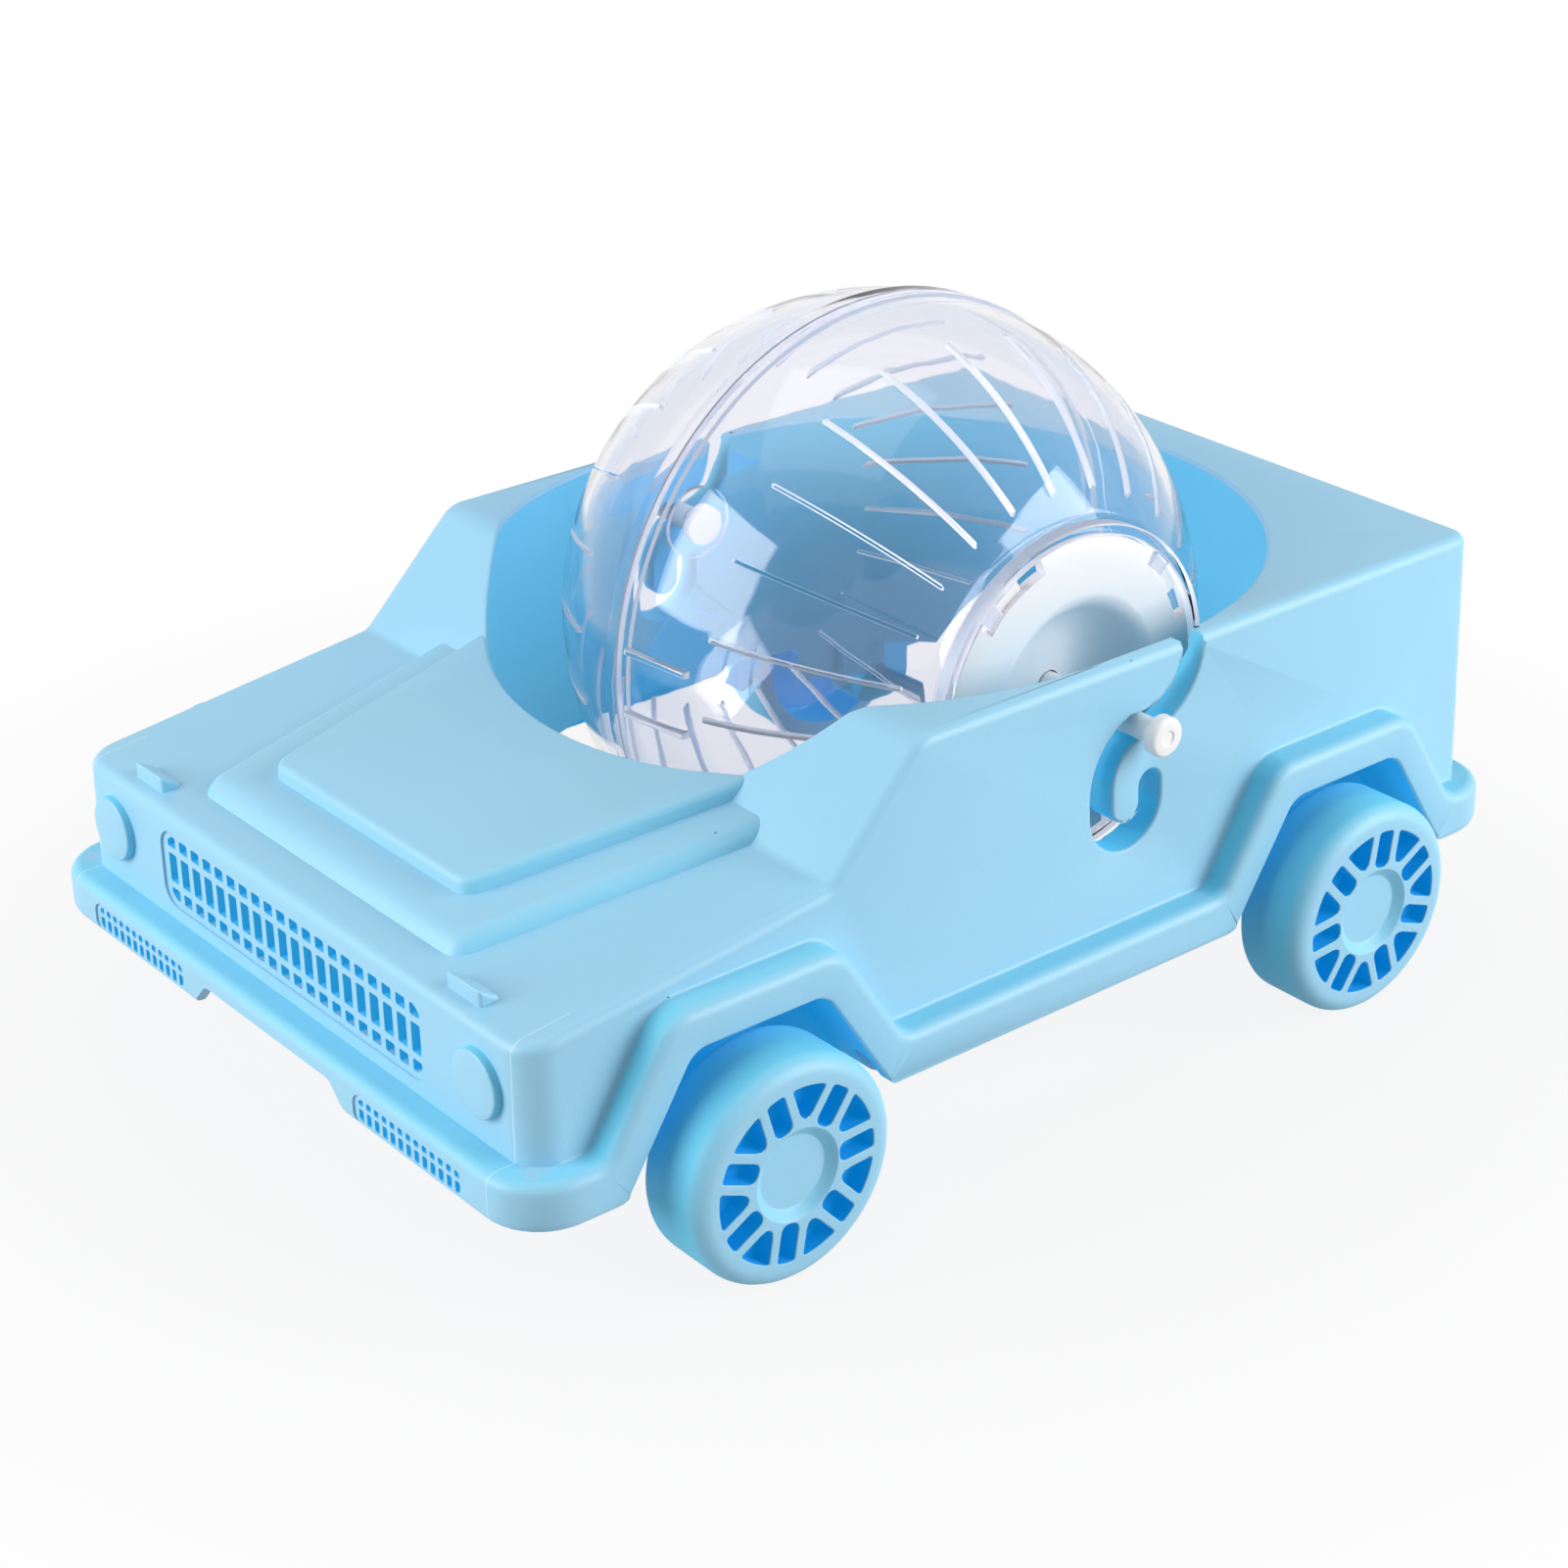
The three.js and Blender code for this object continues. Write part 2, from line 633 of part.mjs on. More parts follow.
// Wheel: tyre and face with blind pockets in one piece, hollow behind, with a blind axle hole.
function wheelSolid(side, axleY, phase) {
  const face = wheelFaceX;
  const back = face - wheelWidth;
  const backEdge = shoulder * 0.4;
  const inner = wheelRadius - treadWall;
  const tube = axleRadius + runGap + hubTubeWall;
  const hole = axleRadius + fixGap;
  const profile = [
    [0, face - hubRecess],
    [hubRadius, face - hubRecess],
    [windowInner, face],
    [wheelRadius - shoulder, face],
    [wheelRadius - shoulder * 0.29, face - shoulder * 0.29],
    [wheelRadius, face - shoulder],
    [wheelRadius, back + backEdge],
    [wheelRadius - backEdge, back],
    [inner, back],
    [inner, face - windowDepth - windowFloor],
    [tube, face - windowDepth - windowFloor],
    [tube, back + overlap],
    [hole, back + overlap],
    [hole, axleEndX + fixGap],
    [0, axleEndX + fixGap],
  ].map(([r, x]) => [r, x * side]);
  let wheel = solid(turned(profile, wheelFacets));
  const pitch = 2 * Math.PI / windowCount;
  const windows = [];
  for (let i = 0; i < windowCount; i += 1) {
    const angle = radians(phase) + i * pitch;
    const turn = new THREE.Vector2();
    const middle = angle + pitch / 2;
    const slotShape = outline([
      [windowInner, -windowSlot / 2, slotEndRadius],
      [windowOuter, -windowSlot / 2, 0],
      [windowOuter, windowSlot / 2, 0],
      [windowInner, windowSlot / 2, slotEndRadius],
    ].map(([u, v, r]) => [...turn.set(u, v).rotateAround(new THREE.Vector2(), angle).toArray(), r]));
    const reach = windowSlot / 2 + spokeWidth;
    const tip = reach / Math.sin(pitch / 2);
    const span = pitch / 2 - Math.asin(reach / windowOuter);
    const wedge = outline([
      [tip, 0, windowTipRadius],
      [windowOuter * Math.cos(span), -windowOuter * Math.sin(span), 0],
      [windowOuter, 0, 0],
      [windowOuter * Math.cos(span), windowOuter * Math.sin(span), 0],
    ].map(([u, v, r]) => [...turn.set(u, v).rotateAround(new THREE.Vector2(), middle).toArray(), r]));
    windows.push(slotShape, wedge);
  }
  const floor = face - windowDepth;
  const from = side > 0 ? floor : -face - overlap;
  const to = side > 0 ? face + overlap : -floor;
  wheel = wheel.subtract(solid(alongX(windows, from, to, 2)));
  return { wheel, place: [0, axleY, wheelRadius] };
}

function axleSolid() {
  const edge = axleRadius * 0.3;
  return solid(turned([
    [0, -axleEndX],
    [axleRadius - edge, -axleEndX],
    [axleRadius, -axleEndX + edge],
    [axleRadius, axleEndX - edge],
    [axleRadius - edge, axleEndX],
    [0, axleEndX],
  ], pinFacets));
}

// Ball shell halves about the peg axis.
function sphereArc(radius, fromX, toX, steps) {
  const from = Math.acos(fromX / radius);
  const to = Math.acos(toX / radius);
  const points = [];
  for (let i = 0; i <= steps; i += 1) {
    const angle = from + (to - from) * i / steps;
    points.push([radius * Math.sin(angle), radius * Math.cos(angle)]);
  }
  return points;
}

// Block laid on the sphere: long along the meridian, centred at an angle off the pole.
function onSphere(side, offPole, around, radius, length, height, width) {
  const pole = radians(offPole);
  const turn = radians(around);
  const out = new THREE.Vector3(
    side * Math.cos(pole), Math.sin(pole) * Math.cos(turn), Math.sin(pole) * Math.sin(turn));
  const along = new THREE.Vector3(
    -side * Math.sin(pole), Math.cos(pole) * Math.cos(turn), Math.cos(pole) * Math.sin(turn));
  const basis = new THREE.Matrix4().makeBasis(along, out, along.clone().cross(out));
  basis.setPosition(out.clone().multiplyScalar(radius));
  return solid(new THREE.BoxGeometry(length, height, width).applyMatrix4(basis));
}

function ventSlits(side, phase) {
  const middle = (slitStart + slitEnd) / 2;
  const length = 2 * ballRadius * Math.sin(radians(slitEnd - slitStart) / 2);
  const slits = [];
  for (let i = 0; i < slitCount; i += 1) {
    const around = phase + i * 360 / slitCount;
    slits.push(onSphere(side, middle, around, ballRadius - ballWall, length, ballWall * 6, slitWidth));
  }
  return wasm.Manifold.union(slits);
}

const ballInner = ballRadius - ballWall;
const halfFacet = Math.PI / slitCount;
const collarRadius = ballRadius + collarRise;
const ledgeBack = doorBack - runGap - ballWall;
const ledgeInner = doorRadius - ballWall;
const leftSeam = seamX + fixGap / 2;
const rightSeam = seamX - fixGap / 2;
let ballLeft = solid(turned([
  [ringInner, ringTop],
  [ringOuter, ringTop],
  ...sphereArc(
    ballRadius, Math.sqrt(ballRadius ** 2 - ringOuter ** 2), seamX + collarWidth, leftArcFacets),
  [collarRadius, seamX + collarWidth - collarRise],
  [collarRadius, leftSeam],
  ...sphereArc(ballInner, leftSeam, ledgeBack, leftArcFacets),
  [ledgeInner, ledgeBack],
  [ledgeInner, doorBack - runGap],
  [ringInner, doorBack - runGap],
  [ringInner, ringTop],
], slitCount, radians(leftSlitPhase) + halfFacet));
ballLeft = ballLeft.subtract(ventSlits(1, leftSlitPhase));
for (const around of latchAngles) {
  const bar = onSphere(1, latchOffPole, around, ballRadius, latchLength, latchHeight, latchWidth);
  ballLeft = ballLeft.add(bar);
}
const lugFrom = notchPhase + twistAngle;
for (let i = 0; i < lugCount; i += 1) {
  const middle = lugFrom + i * 360 / lugCount;
  const from = middle - lugAngle / 2;
  const shape = sector(ringInner - lugReach, ringInner + runGap, from, from + lugAngle);
  const base = pocketFloor + runGap;
  ballLeft = ballLeft.add(solid(alongX(shape, base, base + lugThick, 2)));
}

const hubOuter = pegHeadRadius * 2;
const hubBack = ballInner - ballWall;
const ballRight = solid(turned([
  [collarRadius, rightSeam],
  [collarRadius, seamX - collarWidth + collarRise],
  ...sphereArc(
    ballRadius, seamX - collarWidth, -Math.sqrt(ballRadius ** 2 - boreRadius ** 2), rightArcFacets),
  [boreRadius, -hubBack],
  [hubOuter, -hubBack],
  ...sphereArc(ballInner, -Math.sqrt(ballInner ** 2 - hubOuter ** 2), rightSeam, rightArcFacets),
  [collarRadius, rightSeam],
], slitCount, radians(rightSlitPhase) + halfFacet)).subtract(ventSlits(-1, rightSlitPhase));

// Door: flat rim with entry notches and lock pockets, dished centre, peg bore.
const rimCrown = 0.9;
let door = solid(turned([
  [boreRadius, dishFloor],
  [dishRadius * 0.4, dishFloor + dishDepth * 0.06],
  [dishRadius * 0.72, dishFloor + dishDepth * 0.42],
  [dishRadius * 0.93, dishFloor + dishDepth * 0.93],
  [dishRadius * 1.06, doorFace + rimCrown],
  [doorRadius - 1, doorFace],
  [doorRadius, doorFace - 1],
  [doorRadius, doorBack],
  [dishRadius * 1.06, doorBack],
  [dishRadius * 0.8, dishFloor + dishDepth * 0.4 - doorThick],
  [dishRadius * 0.4, dishFloor - doorThick],
  [boreRadius, dishFloor - doorThick],
  [boreRadius, dishFloor],
], doorFacets));
const lugPlay = 1.5;
for (let i = 0; i < lugCount; i += 1) {
  const start = notchPhase + i * 360 / lugCount;
  const pocketInner = ringInner - lugReach - runGap * 2;
  const half = lugAngle / 2 + lugPlay;
  const notch = sector(pocketInner, doorRadius + overlap, start - half, start + half);
  const pocket = sector(pocketInner, doorRadius + overlap, start - half, start + twistAngle + half);
  door = door.subtract(solid(alongX(notch, doorBack - overlap, doorFace + overlap * 2, 2)));
  door = door.subtract(solid(alongX(pocket, pocketFloor, doorFace + overlap * 2, 4)));
}
const dishSlit = sector(dishRadius * 0.86, dishRadius * 0.93, 100, 150);
door = door.subtract(solid(alongX(dishSlit, dishFloor - doorThick * 2, doorFace + overlap * 2, 4)));

// Pegs: inner flange behind the hub, shaft through the slot, round head outside.
function pegSolid(side, hubInside) {
  const headBase = bodyHalf(ballAxisZ) + pegHeadGap;
  const headEnd = headBase + pegHeadLength;
  const flange = hubInside - runGap;
  const edge = pegHeadRadius * 0.25;
  return solid(turned([
    [0, flange - ballWall],
    [pegRadius + ballWall, flange - ballWall],
    [pegRadius + ballWall, flange],
    [pegRadius, flange],
    [pegRadius, headBase],
    [pegHeadRadius, headBase],
    [pegHeadRadius, headEnd - edge],
    [pegHeadRadius - edge, headEnd],
    [0, headEnd],
  ].map(([r, x]) => [r, x * side]), pinFacets));
}

// Assembly
const part = new THREE.Group();
part.name = 'hamster_ball_car';

function plastic(color, roughness, opacity = 1) {
  const clear = opacity < 1;
  return new THREE.MeshStandardMaterial({ color, roughness, metalness: 0, transparent: clear, opacity });
}

function addPiece(name, shape, material, place = [0, 0, 0]) {
  const { vertProperties, triVerts } = shape.getMesh();
  const geometry = new THREE.BufferGeometry();
  geometry.setAttribute('position', new THREE.BufferAttribute(new Float32Array(vertProperties), 3));
  geometry.setIndex(new THREE.BufferAttribute(new Uint32Array(triVerts), 1));
  geometry.translate(...place);
  geometry.computeVertexNormals();
  const mesh = new THREE.Mesh(geometry, material);
  mesh.name = name;
  part.add(mesh);
}

const ballPlace = [0, ballAxisY, ballAxisZ];
const skyBlue = 0x9ad3f0;
const clearTint = 0xdfe6f2;
const white = 0xf3f4f5;
addPiece('car_body', body, plastic(skyBlue, 0.45));
const frontPhase = 2.9;
const rearPhase = 30;
const wheels = [
  ['wheel_front_left', 1, frontAxleY, frontPhase],
  ['wheel_front_right', -1, frontAxleY, frontPhase],
  ['wheel_rear_left', 1, rearAxleY, rearPhase],
  ['wheel_rear_right', -1, rearAxleY, rearPhase],
];
for (const [name, side, axleY, phase] of wheels) {
  const { wheel, place } = wheelSolid(side, axleY, phase);
  addPiece(name, wheel, plastic(skyBlue, 0.45), place);
}
for (const [name, axleY] of [['front_axle', frontAxleY], ['rear_axle', rearAxleY]]) {
  const steel = new THREE.MeshStandardMaterial({ color: 0xb8bcc2, roughness: 0.35, metalness: 1 });
  addPiece(name, axleSolid(), steel, [0, axleY, wheelRadius]);
}
addPiece('ball_half_left', ballLeft, plastic(clearTint, 0.12, 0.35), ballPlace);
addPiece('ball_half_right', ballRight, plastic(clearTint, 0.12, 0.35), ballPlace);
addPiece('ball_door', door, plastic(white, 0.4), ballPlace);
addPiece('peg_left', pegSolid(1, dishFloor - doorThick), plastic(white, 0.4), ballPlace);
addPiece('peg_right', pegSolid(-1, hubBack), plastic(white, 0.4), ballPlace);

export default part;
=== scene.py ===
"""Toy car that carries a clear hamster exercise ball, modelled around its CAD frame."""

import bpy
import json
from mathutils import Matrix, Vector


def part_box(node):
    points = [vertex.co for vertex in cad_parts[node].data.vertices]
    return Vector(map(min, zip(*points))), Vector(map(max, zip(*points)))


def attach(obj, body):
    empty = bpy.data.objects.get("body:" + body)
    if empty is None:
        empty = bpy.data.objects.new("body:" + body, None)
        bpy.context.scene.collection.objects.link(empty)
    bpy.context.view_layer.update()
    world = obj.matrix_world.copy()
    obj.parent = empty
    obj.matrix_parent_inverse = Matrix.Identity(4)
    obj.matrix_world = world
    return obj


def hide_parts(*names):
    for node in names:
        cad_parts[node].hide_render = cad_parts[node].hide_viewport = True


bl_info = {
    "name": "Hamster ball car",
    "version": (1, 0, 0),
    "blender": (4, 5, 0),
    "location": "View3D > Sidebar > Ball Car",
    "description": "Models the moulded car, its wheels and the clear exercise ball around the CAD frame",
    "category": "Object",
}

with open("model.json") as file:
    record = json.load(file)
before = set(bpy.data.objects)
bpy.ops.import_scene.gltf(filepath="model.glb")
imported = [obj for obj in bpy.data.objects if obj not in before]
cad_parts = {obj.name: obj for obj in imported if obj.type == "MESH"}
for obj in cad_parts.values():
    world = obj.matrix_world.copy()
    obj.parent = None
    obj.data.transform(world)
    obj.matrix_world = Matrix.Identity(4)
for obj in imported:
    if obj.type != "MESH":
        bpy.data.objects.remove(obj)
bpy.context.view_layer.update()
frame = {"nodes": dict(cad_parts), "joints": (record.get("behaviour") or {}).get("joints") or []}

import json
import math
from collections import namedtuple

import bmesh
import bpy
from bpy.props import FloatProperty, FloatVectorProperty, PointerProperty
from mathutils import Matrix, Vector

JOINTS = {joint["name"]: joint for joint in frame["joints"]}
BALL_CENTRE = Vector(JOINTS["ball_spin"]["pos_m"])
LIFT_CENTRE = Vector(JOINTS["ball_lift"]["pos_m"])

# Metres: places this close are the same, doubled vertices merge, the ends of a drawn line are found
NEAR = 1e-5
MERGE = 1e-6
LINE_END = 1e-7

# Millimetres from here on. x runs across the car, y along it with the front at -y, z up from the floor.

# Moulded car
HALF_LENGTH = 110.0
DECK_HEIGHT = 81.2
GROUND = 21.9
HULL_FOOT = 26.0
DECK_HALF = 70.05
DRAFT = 0.0344
WINDSHIELD_TOP = (-27.2, 81.2)
WINDSHIELD_FOOT = (-47.6, 60.3)
WINDSHIELD_TOP_EDGE = 2.4
WINDSHIELD_FOOT_EDGE = 1.0
HOOD_FRONT_Z = 52.7
HOOD_SLOPE = (WINDSHIELD_FOOT[1] - HOOD_FRONT_Z) / (WINDSHIELD_FOOT[0] + HALF_LENGTH)
BODY_WALL = 2.6
SKIN = BODY_WALL - 0.4
WELL_RADIUS = 67.0
WELL_DRAFT = 0.023
WELL_FRONT_Y = 14.0
WELL_REAR_Y = 30.7
WELL_MIDDLE_Y = (WELL_FRONT_Y + WELL_REAR_Y) / 2
WELL_STEPS = 128
LINER_BOTTOM = 29.0
WEB_LENGTH = 64.0
OUTSIDE = 90.0

# Bumper, sill and arch band
BAND_HALF = 77.37
BAND_TOP = 31.2
BUMPER_Y = 115.65
BUMPER_CORNER = 11.5
BAND_RADIUS = 31.9
BAND_FOOT_CORNER = 4.0
BAND_TOP_CORNER = 7.0
ARCH_RADIUS = 24.7
ARCH_FOOT_CORNER = 5.0
ARCH_TOP_CORNER = 4.5
ARCH_FLARE = 12.0
ARCH_LEG = math.radians(32.3)
BUMPER_GAP_HALF = 20.4
BUMPER_GAP_FLARE = 5.0
BUMPER_GAP_RISE = 5.5
BUMPER_GAP_CORNER = 2.5
BELOW_GROUND = GROUND - 3
FLARE_FOOT = GROUND - 0.05

# Front details
Lattice = namedtuple("Lattice", "columns pitch bar rows row_bar bottom clip border")
# clip: margin and corner radius of the outline that the holes end at
# border: margin, corner radius and depth of the shallow step round the holes
GRILLE = Lattice(columns=20, pitch=4.12, bar=1.42, rows=(2.3, 5.8, 2.3), row_bar=1.3, bottom=34.9,
                 clip=(0.3, 4.3), border=(1.2, 4.0, 0.5))
LAMP = Lattice(columns=13, pitch=2.36, bar=0.95, rows=(2.3, 1.3), row_bar=0.7, bottom=23.4,
               clip=(0.1, 2.2), border=(0.9, 2.4, 0.4))
GRILLE_WIDTH = GRILLE.columns * GRILLE.pitch
LAMP_WIDTH = LAMP.columns * LAMP.pitch
LAMP_INNER_X = 28.5
HOLE_EDGE = 0.4
HEADLIGHT = (58.4, 42.4)
HEADLIGHT_RADIUS = 6.1
HEADLIGHT_PROUD = 1.8
HEADLIGHT_EDGE = 0.5
TAB_X = 50.2
TAB_LENGTH = 9.6
TAB_DEPTH = 3.7
TAB_HEIGHT = 3.2
TAB_SETBACK = 3.0
PANEL_FRONT_HALF = 40.45
PANEL_REAR_HALF = 53.55
PANEL_SETBACK = 7.4
PANEL_STEP = 10.0
PANEL_RISE = 3.0
PANEL_CORNER = 3.5
TAB_EDGE = 0.7
MOULD_LINE_X = 66.8
MOULD_LINE_HALF = 0.16
MOULD_LINE_END = -98.0

# Wheels and axles
WHEEL_RADIUS = 20.8
WHEEL_WIDTH = 14.5
WHEEL_FACE = 86.02
WHEEL_PHASES = {"front": 2.9, "rear": 30.0}
FRONT_AXLE_Y = -67.8
REAR_AXLE_Y = 70.25
TREAD_WALL = 3.3
TREAD_INNER = WHEEL_RADIUS - TREAD_WALL
SHOULDER = 3.3
BACK_EDGE = 1.3
HUB_TUBE_WALL = 2.4
HUB_RADIUS = 7.2
HUB_RECESS = 1.5
HUB_LIP = 1.4
WINDOW_INNER = 8.9
WINDOW_OUTER = 16.2
WINDOW_SLOT = 3.7
SPOKE = 1.8
WINDOWS = 7
WINDOW_TIP_RADIUS = 1.6
SLOT_END_RADIUS = 1.4
WINDOW_DEPTH = 3.4
WINDOW_FLOOR = 1.6
WINDOW_EDGE = 0.6
FACE_EDGE = 0.2
WHEEL_WEB = WHEEL_FACE - WINDOW_DEPTH - WINDOW_FLOOR
AXLE_RADIUS = 2.0
AXLE_END = 81.52
AXLE_FIT = 0.2
AXLE_BORE_END = 69.0
HOUSE_X = 60.0
HOUSE_WALL = 2.0
POST_X = 58.5
POST_WIDTH = 7.0
POST_LENGTH = 16.0
POST_FOOT = 14.8
POST_CORNER = 5.0

# Exercise ball, about its own centre
BALL_RADIUS = 60.0
BALL_WALL = 1.8
BALL_INNER = BALL_RADIUS - BALL_WALL
BALL_STEPS = 144
SEAM_X = -2.1
SEAM_GAP = 0.2
COLLAR_WIDTH = 3.5
COLLAR_RISE = 0.5
COLLAR_RADIUS = BALL_RADIUS + COLLAR_RISE
COLLAR_EDGE = 0.25
SLITS = 24
SLIT_START = 38.0
SLIT_END = 72.0
SLIT_PHASES = {1: 0.0, -1: 10.0}
LATCH_ANGLES = (172.0, 183.4)
LATCH_OFF_POLE = 82.0
LATCH_SIZE = (15.0, 2.2, 1.2)
LATCH_EDGE = 0.35

# Door and its ring
DOOR_RADIUS = 29.5
DOOR_THICK = 2.2
DISH_RADIUS = 18.0
CROWN_RADIUS = DISH_RADIUS * 1.06
RING_INNER = 29.8
RING_OUTER = 31.9
RING_TOP = 53.67
RING_EDGE = 0.3
DOOR_FACE = 53.07
DOOR_BACK = 50.87
POCKET_FLOOR = 51.97
DISH_FLOOR = 46.67
# The dish's section: share of its radius, share of its depth, above and below
DISH_CURVE = ((0.3, 0.0), (0.45, 0.02), (0.58, 0.09), (0.7, 0.25), (0.8, 0.48), (0.88, 0.75), (0.94, 0.97))
UNDER_CURVE = ((0.97, 0.66), (0.86, 0.42), (0.74, 0.2), (0.6, 0.06), (0.45, 0.01), (0.3, 0.0))
DISH_SLIT = (0.86, 0.93)
DISH_SLIT_ANGLES = (100, 150)
LUGS = 4
LUG_ANGLE = 8.0
LUG_REACH = 2.9
LUG_THICK = 1.2
LUG_EDGE = 0.25
LUG_CLEARANCE = 1.5
NOTCH_PHASE = 112.0
TWIST = 22.0
RUN_GAP = 0.3

# Pegs and their curved slot
PEG_RADIUS = 2.3
PEG_HEAD_RADIUS = 3.75
PEG_HEAD = 2.8
PEG_HEAD_EDGE = 0.9
PEG_FLANGE_RADIUS = 4.1
PEG_BORE = 2.6
SLOT_HALF = 2.65
LIFT_RADIUS = 12.7
TONGUE = (25.55, 57.0, 11.8)
HOOK = (19.65, 53.6, 5.9)
ARM_END = 56.2
SLOT_SPAN_Y = (0.0, 50.0)
SLOT_LOWEST = 40.0
PAD_X = 65.0
PAD_OUTER_X = 68.0
PAD_TOP = (67.2, 79.0)
PAD_SHOULDER = 73.0
PAD_LENGTH = 50.0

# Painted shade: how deep in shade faces lie, from 0 outside to 1 in the wheels' windows; the plastic's
# colour is painted deeper blue and made to glow by it
PAINTED_SHADE_DEPTHS = {
    "window": 1.0, "wheel_back": 0.7, "hub": 0.7, "tread": 0.5,
    "arch": 0.78, "house": 0.65, "well": 0.5, "hook": 0.62, "entry": 0.53, "hollow": 0.7,
    "headlight": 0.4, "ledge": 0.3, "forward_ledge": 0.4, "panel": 0.22,
}

# Finishes
WHITE = (1.0, 1.0, 1.0, 1.0)
BLACK = (0.0, 0.0, 0.0, 1.0)
CLOUD_SHADE = 0.955
SPECK_SIZE = 0.045
SPECK_CHANCE = 0.93
SPECK_COLOUR = (0.05, 0.12, 0.2, 1.0)
MOULD_LINE_COLOUR = (0.6, 0.82, 0.93, 1.0)
# Painted glow: faces deep in shade glow blue, standing in for light that passes through the thin plastic
# walls
PAINTED_GLOW_COLOUR = (0.0, 0.5, 0.82, 1.0)
PAINTED_GLOW_STRENGTH = 0.24
MILKY = (0.8, 0.82, 0.86, 1.0)
STEEL = (0.62, 0.63, 0.65, 1.0)
PAPER = (0.5, 0.5, 0.51, 1.0)
DOOR_ROUGHNESS = 0.36
BALL_ROUGHNESS = 0.02

# Stage: lamps by name, power setting, place and size in metres; the camera as solved on the photograph
LAMPS = (
    ("Side lamp", "side_power", (0.95, 0.75, 0.5), 0.9),
    ("Front lamp", "front_power", (-0.35, -1.05, 0.5), 0.8),
    ("Top lamp", "top_power", (-0.2, -0.1, 1.2), 0.9),
)
LAMP_AIM = (0.0, 0.0, 45.0)
FLOOR_SIZE = 8.0
FLOOR_FADE = {"From Min": 0.1, "From Max": 0.26, "To Min": 0.88, "To Max": 1.0}
CAMERA_ANGLES = (51.30, 26.32, -0.86)
CAMERA_TARGET = (2.36, -2.52, 39.35)
CAMERA_DISTANCE = 631.31
SENSOR_WIDTH = 36.0


def mm(*values):
    """Millimetres as metres: one number, or a vector of several."""
    scaled = [value * 0.001 for value in values]
    return scaled[0] if len(scaled) == 1 else Vector(scaled)


def body_half(z):
    """Half the drafted body's width at a height."""
    return DECK_HALF + DRAFT * (DECK_HEIGHT - z)


def hood_z(y):
    """Height of the sloping hood at a place along the car."""
    return HOOD_FRONT_Z + HOOD_SLOPE * (y + HALF_LENGTH)


def well_at(z):
    """Radius of the drafted ball well at a height."""
    return WELL_RADIUS - WELL_DRAFT * (DECK_HEIGHT - z)


def arc(centre_u, centre_v, radius, start, end, steps):
    """Points along an arc from one angle to another, in degrees."""
    angles = [math.radians(start + (end - start) * i / steps) for i in range(steps + 1)]
    return [(centre_u + radius * math.cos(a), centre_v + radius * math.sin(a)) for a in angles]


# Modelling steps

VIEWS = {
    "side": lambda u, v, depth: mm(depth, u, v),
    "front": lambda u, v, depth: mm(u, depth, v),
    "plan": lambda u, v, depth: mm(u, v, depth),
}


def take(*pieces):
    """Leaves only these pieces selected, the first one active."""
    if bpy.context.object and bpy.context.object.mode != "OBJECT":
        bpy.ops.object.mode_set(mode="OBJECT")
    bpy.ops.object.select_all(action="DESELECT")
    for piece in pieces:
        piece.select_set(True)
    if pieces:
        bpy.context.view_layer.objects.active = pieces[0]


def edit(piece):
    """Opens a piece in edit mode."""
    take(piece)
    bpy.ops.object.mode_set(mode="EDIT")


def close():
    """Goes back to object mode."""
    bpy.ops.object.mode_set(mode="OBJECT")


def pick(piece, kind, test):
    """Selects the vertices, edges or faces of an open piece that pass a test."""
    bpy.ops.mesh.select_mode(type={"verts": "VERT", "edges": "EDGE", "faces": "FACE"}[kind])
    bpy.ops.mesh.select_all(action="DESELECT")
    mesh = bmesh.from_edit_mesh(piece.data)
    chosen = [item for item in getattr(mesh, kind) if test(item)]
    if not chosen:
        raise RuntimeError(f"{piece.name}: no {kind} found to work on")
    for item in chosen:
        item.select_set(True)
    bmesh.update_edit_mesh(piece.data)


def at(place, reach=NEAR):
    """Test for a vertex at a place."""
    return lambda vertex: (vertex.co - place).length < reach


def middle(edge):
    """Middle of an edge."""
    return (edge.verts[0].co + edge.verts[1].co) / 2


def runs(axis, length=1):
    """Test for an edge that runs further than a length, in millimetres, along an axis."""
    return lambda edge: abs(edge.verts[0].co[axis] - edge.verts[1].co[axis]) > mm(length)


def between(edge, one, other):
    """True where an edge parts a face of one sort from a face of another."""
    if len(edge.link_faces) != 2:
        return False
    first, second = edge.link_faces
    return (one(first) and other(second)) or (one(second) and other(first))


def round_edges(piece, test, radius, segments=4, slide=True):
    """Bevels the edges of a piece that pass a test; the ends may slide along the next edges."""
    edit(piece)
    pick(piece, "edges", test)
    bpy.ops.mesh.bevel(
        offset_type="OFFSET", offset=mm(radius), segments=segments, affect="EDGES",
        clamp_overlap=False, loop_slide=slide)
    close()


def split_faces(piece):
    """Cuts the many-sided faces that solids leave when combined into triangles."""
    edit(piece)
    pick(piece, "faces", lambda face: len(face.verts) > 4)
    bpy.ops.mesh.quads_convert_to_tris(ngon_method="BEAUTY")
    close()


def draw(name, points, closed):
    """New piece, left in edit mode, that is a line of vertices through the points."""
    take()
    bpy.ops.mesh.primitive_plane_add(size=mm(1))
    piece = bpy.context.object
    piece.name = piece.data.name = name
    bpy.ops.object.mode_set(mode="EDIT")
    bpy.ops.mesh.select_mode(type="VERT")
    bpy.ops.mesh.merge(type="CENTER")
    bpy.ops.transform.translate(value=points[0])
    for start, end in zip(points, points[1:]):
        bpy.ops.mesh.extrude_vertices_move(TRANSFORM_OT_translate={"value": end - start})
    if closed:
        first, last = at(points[0], LINE_END), at(points[-1], LINE_END)
        pick(piece, "verts", lambda vertex: first(vertex) or last(vertex))
        bpy.ops.mesh.edge_face_add()
    return piece


